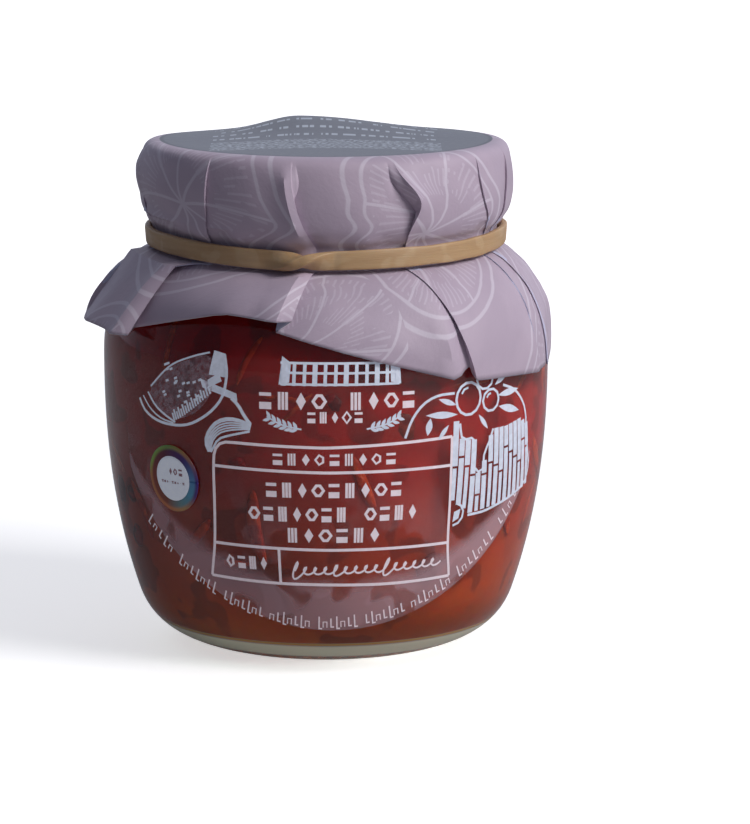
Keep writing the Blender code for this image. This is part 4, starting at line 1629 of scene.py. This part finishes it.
@dataclass
class BellyLabel:
    """Clear film on the belly with a white printed frame, ornaments and drawings."""

    centre: float = 2.5
    half_angle: float = 63.5
    top: float = 41.0
    bottom: float = 6.2
    arc_radius: float = 36.0
    corner: float = 7.0
    film_lift: float = 0.04
    film_thickness: float = 0.06
    line_width: float = 0.36
    marks_arc: float = 0.97

    def rise(self, along: Array) -> Array:
        """Height of the label's lower arc above its lowest point."""
        return self.arc_radius - np.sqrt(self.arc_radius**2 - np.clip(np.abs(along), 0, 35.5) ** 2)

    def film(self) -> None:
        """Clear film: an arch that is round below and has rounded upper corners."""
        half = math.radians(self.half_angle) * JAR.belly
        middle = math.radians(self.centre) * JAR.belly
        along = half * np.sin(np.linspace(-0.5 * math.pi, 0.5 * math.pi, 120))
        low = self.bottom + self.rise(along)
        side = np.clip(np.abs(along) - (half - self.corner), 0.0, self.corner)
        high = self.top - self.corner + np.sqrt(np.maximum(self.corner**2 - side**2, 0.0))
        share = np.linspace(0.0, 1.0, 44)[:, None]
        height = low + (np.maximum(high, low + 0.2) - low) * share
        points = JAR.on_belly(middle + along + share * 0.0, height, self.film_lift)
        flat = np.stack([(along / half * 0.5 + 0.5) + share * 0.0, share + along * 0.0], axis=-1)
        surface = Surface()
        surface.grid(points, flat=flat)
        mesh = surface.mesh("label_film", recalculate=False)
        mesh.flip_normals()
        film = add_piece("label_film", mesh, [FilmFinish().make()], ("clear_label",))
        add_wall(film, self.film_thickness, 1.0)

    def frame(self, ink: InkDrawing) -> None:
        """The printed frame: three rows, the lowest one divided."""
        right_top, right_low, left_low = (16.45, 30.7), (18.0, 12.5), (-16.4, 12.8)
        side = smooth_line([left_low, (-15.3, 17.2), (-14.8, 22.0), (-14.6, 27.0), (-14.3, 29.2),
                            (-13.2, 30.25), (-11.0, 30.35)], 5)
        ink.stroke(np.vstack([side, [(0.0, 30.1), right_top]]), self.line_width)
        ink.line([right_top, (16.6, 24.0), (17.0, 17.0), right_low], self.line_width)
        ink.line([right_low, (9.0, 12.3), (0.0, 12.4), (-8.0, 12.5), left_low], self.line_width)
        ink.stroke([(-14.6, 27.25), (0.0, 26.96), (16.5, 27.05)], self.line_width)
        ink.stroke([(-15.3, 17.25), (0.0, 17.0), (17.0, 17.0)], self.line_width)
        ink.stroke([(-6.2, 17.1), (-6.2, 12.6)], self.line_width)

    def rows(self, ink: InkDrawing) -> None:
        """Rows of ornaments, and a flourish."""
        ink.ornaments((-6.9, 9.0, 28.6), 1.5, 9, 0.3)
        ink.ornaments((-7.9, 9.9, 24.7), 1.9, 9, 0.4)
        ink.ornaments((-10.2, 12.2, 21.6), 1.9, 12, 0.4, skip=(7,))
        ink.ornaments((-5.4, 7.4, 18.9), 1.9, 6, 0.4)
        ink.ornaments((-13.9, -7.6, 15.0), 1.7, 4, 0.34)
        t = np.linspace(0.0, 1.0, 260)
        swing = t * math.tau * 15.0
        tall = 0.5 + 0.9 * bump(t, 0.03, 0.03) + 0.5 * bump(t, 0.3, 0.02) + 0.9 * bump(t, 0.63, 0.03)
        z = tall * np.sin(swing)
        x = -4.6 + 20.4 * t + 0.42 * np.cos(swing) + 0.45 * z
        ink.stroke(np.stack([x, 14.2 + z + 0.5 * t], axis=-1), 0.24, step=0.28)
        ink.ornaments((-8.6, 11.4, 35.9), 2.2, 9, 0.42, skip=(4,))
        ink.ornaments((-2.5, 4.7, 33.9), 1.4, 5, 0.3)

    def edge_marks(self, ink: InkDrawing) -> None:
        """Small bent strokes in groups of seven along the label's lower arc, each leaning with it."""
        for index, x in enumerate(np.arange(-26.8, 29.5, 0.86)):
            if index % 8 == 5:
                continue
            z = 6.4 + self.marks_arc * float(self.rise(x))
            lean = math.atan(self.marks_arc * x / math.sqrt(self.arc_radius**2 - x * x))
            tall = 0.62 + 0.25 * ((index * 7) % 3 == 0)
            up = np.array([-math.sin(lean), math.cos(lean)]) * tall
            along_arc = np.array([math.cos(lean), math.sin(lean)]) * 0.28
            at = np.array([x, z + 0.8])
            if index % 3 == 1:
                ink.stroke([at - up - along_arc, at - along_arc + up * 0.4, at + along_arc + up * 0.4,
                            at + along_arc - up], 0.16)
            else:
                ink.stroke([at - up, at + up], 0.2)
                ink.stroke([at - up * 0.9, at - up * 0.9 + along_arc * 1.6], 0.17)

    def emblem(self, ink: InkDrawing) -> None:
        """A hatched cartouche above the rows, and two leafy sprigs."""
        for z in (38.0, 39.4, 40.6):
            ink.stroke([(-5.6, z), (9.1, z - 0.05)], 0.3)
        for index in range(12):
            x = -5.2 + index * 1.27
            ink.stroke([(x, 37.8), (x + 0.1, 40.7)], 0.42 if index % 3 else 0.6)
        ink.fill([(-5.8, 37.9), (-5.4, 41.4)], [(-4.5, 38.2), (-4.3, 40.6)])
        ink.fill([(8.0, 38.2), (8.0, 40.6)], [(9.3, 37.9), (9.2, 41.0)])
        for side, middle in ((-1.0, -3.0), (1.0, 5.0)):
            stem = np.array([(middle, 32.4), (middle + side * 2.4, 32.9), (middle + side * 4.3, 33.9)])
            ink.line(stem, 0.2)
            for index in range(6):
                x = middle + side * (0.5 + index * 0.66)
                z = 32.3 + 0.036 * (index + 1) ** 2
                tilt = 90.0 - side * 62.0
                ink.leaf(x, z, 1.15, 0.42, tilt + side * 34.0)
                ink.leaf(x, z, 1.05, 0.42, tilt - side * 40.0)

    def fruit(self, ink: InkDrawing) -> None:
        """A half fruit with a ladle and a curling ribbon, at the upper left."""
        rind = smooth_line([(-27.0, 34.3), (-25.9, 32.9), (-23.6, 31.95), (-20.7, 31.7), (-18.0, 32.1),
                            (-15.4, 33.5), (-13.7, 35.1), (-12.9, 36.6), (-12.5, 39.0), (-12.9, 41.2)], 5)
        ink.stroke(rind, 0.34)
        ink.line([(-25.2, 35.3), (-23.8, 33.8), (-21.9, 32.75), (-20.3, 32.1)], 0.26)
        ink.line([(-26.2, 34.7), (-24.8, 33.3), (-22.8, 32.3), (-20.6, 31.95)], 0.2)
        ink.line([(-24.6, 36.1), (-21.0, 39.1), (-17.5, 40.6), (-15.0, 41.3)], 0.22)
        t = np.linspace(0.0, 1.0, 17)
        low = np.stack([-20.4 + 5.6 * t, 32.3 + 3.9 * t**1.25], axis=-1)
        for index, (x, z) in enumerate(low):
            reach = 0.9 + 0.35 * (index % 2)
            ink.stroke([(x, z), (x - 0.35 * reach, z + reach)], 0.24)
        draw = np.random.default_rng(11)
        for x, z in draw.uniform((-22.6, 34.6), (-16.2, 39.6), (22, 2)):
            ink.stroke([(x, z), (x + 0.45, z + 0.2)], 0.28)
        ink.fill([(-15.0, 38.6), (-12.6, 38.4)], [(-14.4, 41.6), (-12.8, 41.3)])
        ink.fill([(-16.3, 38.0), (-11.2, 36.5)], [(-15.9, 36.9), (-11.1, 35.6)])
        ink.fill([(-15.2, 37.9), (-15.0, 37.0)], [(-13.6, 38.9), (-13.2, 37.9)])
        ink.line([(-11.9, 35.9), (-11.0, 35.1), (-10.2, 33.8), (-9.4, 32.8)], 0.42)
        outer = smooth_line([(-9.3, 32.7), (-10.7, 33.2), (-12.4, 33.35), (-14.1, 32.7), (-15.4, 31.1),
                             (-15.6, 29.8), (-15.2, 28.9)], 5)
        inner = smooth_line([(-9.5, 31.9), (-10.7, 31.6), (-12.2, 31.2), (-13.4, 30.8), (-14.1, 30.2),
                             (-14.5, 29.5), (-14.9, 28.9)], 5)
        ink.stroke(outer, 0.3)
        ink.stroke(inner, 0.28)
        for share in np.linspace(0.12, 0.7, 5):
            ink.stroke(outer * (1 - share) + inner * share, 0.2)

    def pudding(self, ink: InkDrawing) -> None:
        """A fluted pudding with sauce, berries and leaves, at the upper right."""
        width = 0.32
        ink.line([(9.9, 31.0), (10.8, 33.3), (12.3, 35.1), (14.3, 36.0), (16.7, 36.1)], width)
        ink.line([(25.0, 36.2), (27.6, 35.2), (29.8, 33.2), (30.7, 31.2), (30.8, 29.6), (31.9, 26.7),
                  (32.6, 24.3), (31.6, 22.6), (28.7, 21.55), (25.1, 20.8), (22.6, 20.35), (19.8, 20.25)],
                 width)
        sauce = np.array([(23.3, 30.9), (22.6, 29.3), (21.8, 27.7), (21.8, 26.0), (20.9, 25.7),
                          (20.0, 26.9), (20.2, 28.7), (19.9, 30.1), (18.1, 30.2), (17.6, 32.2)])
        ink.line(sauce, width)
        for index in range(15):
            x = 17.05 + index * 0.98
            top = np.interp(x, (16.6, 17.6, 18.1, 20.0, 20.2, 21.0, 21.7, 22.5, 23.3, 26.0, 29.0, 31.0),
                            (33.0, 32.0, 30.0, 29.9, 27.0, 25.5, 26.0, 29.2, 30.9, 30.9, 31.4, 30.5))
            low = np.interp(x, (17.0, 19.0, 20.0, 25.0, 29.0, 32.0), (22.5, 21.2, 20.5, 21.0, 21.8, 22.8))
            lean = 0.13 * max(0.0, x - 19.0)
            middle = low + (top - low) * (0.42 + 0.1 * ((index * 3) % 4))
            at = x + lean * (top - middle) / (top - low)
            ink.stroke([(x, top), (at, middle + 0.15)], 0.84)
            ink.stroke([(at, middle - 0.15), (x + lean, low)], 0.6 + 0.2 * (index % 2))
        ink.ring(18.9, 35.2, 1.95, 2.05, 0.34)
        ink.ring(22.7, 34.6, 1.45, 1.4, 0.32)
        ink.ring(21.6, 37.4, 1.4, 1.3, 0.3)
        for x, z, size in ((18.3, 36.1, 0.5), (22.3, 35.1, 0.35), (21.2, 37.9, 0.3)):
            knee = (x - size * 0.5, z + size * 0.5)
            ink.line([(x - size, z - size * 0.4), knee, (x + size, z + size)], 0.26)
        for x, z, length, wide, tilt in (
            (17.2, 33.4, 4.6, 0.9, 177.0), (17.0, 34.6, 2.8, 0.7, 160.0), (24.2, 33.6, 4.6, 1.0, -14.0),
            (24.0, 35.0, 4.4, 0.9, 4.0), (20.6, 33.0, 2.6, 0.6, -50.0), (23.4, 36.4, 3.0, 0.8, 30.0),
            (15.9, 32.2, 2.3, 0.6, 230.0),
        ):
            ink.leaf(x, z, length, wide, tilt)
        ink.leaf(12.9, 31.1, 2.2, 0.9, 80.0)
        angle = np.radians(np.linspace(-88.0, 78.0, 16))
        ink.stroke(np.stack([17.4 + 1.6 * np.cos(angle), 20.6 + 1.45 * np.sin(angle)], axis=-1), 0.3)
        ink.fill([(17.5, 20.9), (17.4, 19.6)], [(18.5, 21.2), (18.3, 20.0)])

    def haze(self, ink: InkDrawing) -> None:
        """Thin half-tone inside the half fruit and the ribbon."""
        low = smooth_line([(-24.9, 34.9), (-23.6, 33.4), (-21.5, 32.5), (-18.6, 32.9), (-16.2, 34.3),
                           (-14.6, 36.4)], 5)
        high = smooth_line([(-24.6, 35.9), (-22.6, 37.8), (-20.4, 39.2), (-18.0, 40.2), (-15.9, 40.9),
                            (-14.3, 40.6)], 5)
        ink.fill(low, high)

    def build(self) -> None:
        """Build the film and the print on it."""
        self.film()
        tone = InkDrawing(lift=0.105, thickness=0.01)
        self.haze(tone)
        tone.object("label_print_tone", HalfToneFinish())
        lines = InkDrawing()
        self.frame(lines)
        self.rows(lines)
        self.edge_marks(lines)
        # both label inks glow faintly by the finish's default: painted light
        lines.object("label_print_lines", InkFinish("ink_line_finish", srgb(240, 226, 234)))
        art = InkDrawing(lift=0.12)
        self.emblem(art)
        self.fruit(art)
        self.pudding(art)
        art.object("label_print_art", InkFinish("ink_art_finish", srgb(218, 224, 240), 0.45))


@dataclass
class RoundSticker:
    """A small round seal: a pale disc within a ring of rainbow foil."""

    along: float = math.radians(-42.5) * JAR.belly
    height: float = 24.8
    radius: float = 4.25
    disc_radius: float = 2.85
    lift: float = 0.2
    turns: int = 72

    def ring(
        self, inner: float, outer: float, rows: int, closed: bool, name: str, lift: float
    ) -> bpy.types.Mesh:
        """Part of the seal as rings of points on the belly, with angle and reach as its UV map.

        Args:
            inner, outer: radii.
            rows: how many rings.
            closed: close the middle.
            name: name of the mesh.
            lift: how far it stands off the glass.

        Returns:
            The mesh.
        """
        share = np.linspace(0.0, 1.0, rows)[:, None]
        angle = np.linspace(0.0, math.tau, self.turns, endpoint=not closed)[None, :]
        reach = inner + (outer - inner) * share
        points = JAR.on_belly(self.along + reach * np.cos(angle), self.height + reach * np.sin(angle), lift)
        flat = np.stack([angle / math.tau + share * 0.0, share + angle * 0.0], axis=-1)
        surface = Surface()
        surface.grid(points, False, closed, flat=flat, poles=(closed, False))
        return surface.mesh(name, recalculate=False)

    def build(self) -> None:
        """Build the disc, the foil ring and the marks on the disc."""
        foil = add_piece("sticker_foil", self.ring(self.disc_radius, self.radius, 8, False, "sticker_foil",
                         self.lift), [FoilFinish().make()], ("round_sticker",))
        add_wall(foil, 0.05, 1.0)
        # the white disc glows faintly by the ink finish's default: painted light
        white = InkFinish("sticker_white_finish", srgb(226, 232, 244), 0.2)
        disc = add_piece("sticker_disc", self.ring(0.25, self.disc_radius, 8, True, "sticker_disc",
                         self.lift), [white.make()])
        add_wall(disc, 0.06, 1.0)
        marks = InkDrawing(lift=self.lift + 0.07, thickness=0.02, step=0.5)
        x, z = self.along, self.height
        marks.ornaments((x - 2.0, x + 2.1, z - 0.5), 0.28, 9, 0.14)
        marks.ornaments((x - 0.6, x + 1.9, z + 0.9), 0.9, 3, 0.2)
        # its last value makes the marks glow faintly: painted light
        finish = InkFinish("sticker_mark_finish", srgb(150, 110, 122), 0.3, 0.05)
        marks.object("sticker_marks", finish)


# ---------------------------------------------------------------- studio


@dataclass
class Studio:
    """Pale floor, one soft lamp, pale surroundings and the camera."""

    aim: tuple[float, float, float] = (0.0, 0.0, 0.0325)
    eye: tuple[float, float, float] = (0.0, -0.4963, 0.1197)
    lens: float = 170.36
    shift: tuple[float, float] = (0.0595, -0.0287)

    def camera(self) -> None:
        """Camera a little above the jar, aimed at its middle."""
        data = bpy.data.cameras.new("camera")
        data.lens, data.sensor_width = self.lens, 36.0
        data.shift_x, data.shift_y = self.shift
        data.clip_start, data.clip_end = 0.01, 50.0
        camera = bpy.data.objects.new("camera", data)
        camera.location = self.eye
        camera.rotation_euler = (Vector(self.aim) - Vector(self.eye)).to_track_quat("-Z", "Y").to_euler()
        bpy.context.scene.collection.objects.link(camera)
        bpy.context.scene.camera = camera

    def lamp(
        self, name: str, at: tuple[float, float, float], size: float, power: float, colour: Colour
    ) -> None:
        """A square soft lamp that faces the jar.

        Args:
            name: its name.
            at: where it stands, in metres.
            size: length of its side.
            power: watts.
            colour: its colour.
        """
        data = bpy.data.lights.new(name, "AREA")
        data.size, data.energy, data.color = size, power, colour
        lamp = bpy.data.objects.new(name, data)
        lamp.location = at
        lamp.rotation_euler = (Vector(self.aim) - Vector(at)).to_track_quat("-Z", "Y").to_euler()
        bpy.context.scene.collection.objects.link(lamp)

    def floor(self) -> None:
        """A wide pale floor, well past the camera."""
        surface = Surface()
        radius = np.array([20.0, 120.0, 500.0, 1500.0])[:, None]
        azimuth = np.linspace(0.0, 360.0, 64, endpoint=False)[None, :]
        surface.grid(place(azimuth, radius, 0.0), False, True, poles=(True, False))
        mesh = surface.mesh("floor", recalculate=False)
        mesh.flip_normals()
        mesh.shade_smooth()
        mesh.materials.append(FloorFinish().make())
        floor = bpy.data.objects.new("floor", mesh)
        bpy.context.scene.collection.objects.link(floor)

    def surroundings(self) -> None:
        """White to the camera. To everything else, darker in front and brighter behind."""
        world = bpy.data.worlds.new("surroundings")
        world.use_nodes = True
        world.node_tree.nodes.clear()
        board = Board(world.node_tree)
        x, y, _ = board.split(board.here("Generated"))
        behind = y.spread(-0.5, 0.9)
        right = x.spread(-0.9, 0.9)
        sides = board.mix(right, srgb(96, 104, 122), srgb(176, 178, 192))
        soft = board.mix(behind * 0.75, sides, srgb(206, 214, 232))
        seen = board.node("ShaderNodeLightPath", out="Is Camera Ray")
        rim = y.spread(0.25, 1.0) * 0.6 + 0.48
        dim = board.node("ShaderNodeBackground", {"Color": soft, "Strength": rim})
        white = board.node("ShaderNodeBackground", {"Color": (1.0, 1.0, 1.0), "Strength": 1.0})
        mixed = board.node("ShaderNodeMixShader", {0: seen, 1: dim, 2: white})
        end = world.node_tree.nodes.new("ShaderNodeOutputWorld")
        world.node_tree.links.new(mixed.socket, end.inputs["Surface"])
        bpy.context.scene.world = world

    def build(self) -> None:
        """Set up the studio."""
        self.camera()
        self.floor()
        self.surroundings()
        self.lamp("key", (0.63, -0.365, 0.56), 0.32, 5.9, (1.0, 0.985, 0.98))
        bpy.context.scene.view_settings.view_transform = "Standard"


def main() -> None:
    """Build everything, in order."""
    logging.basicConfig(level=logging.INFO, format="%(name)s %(message)s")
    Studio().build()
    GlassJar().build()
    Contents().build()
    Lid().build()
    RubberBand().build()
    PaperCover().build()
    BellyLabel().build()
    RoundSticker().build()
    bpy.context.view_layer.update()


if __name__ == "__main__":
    main()
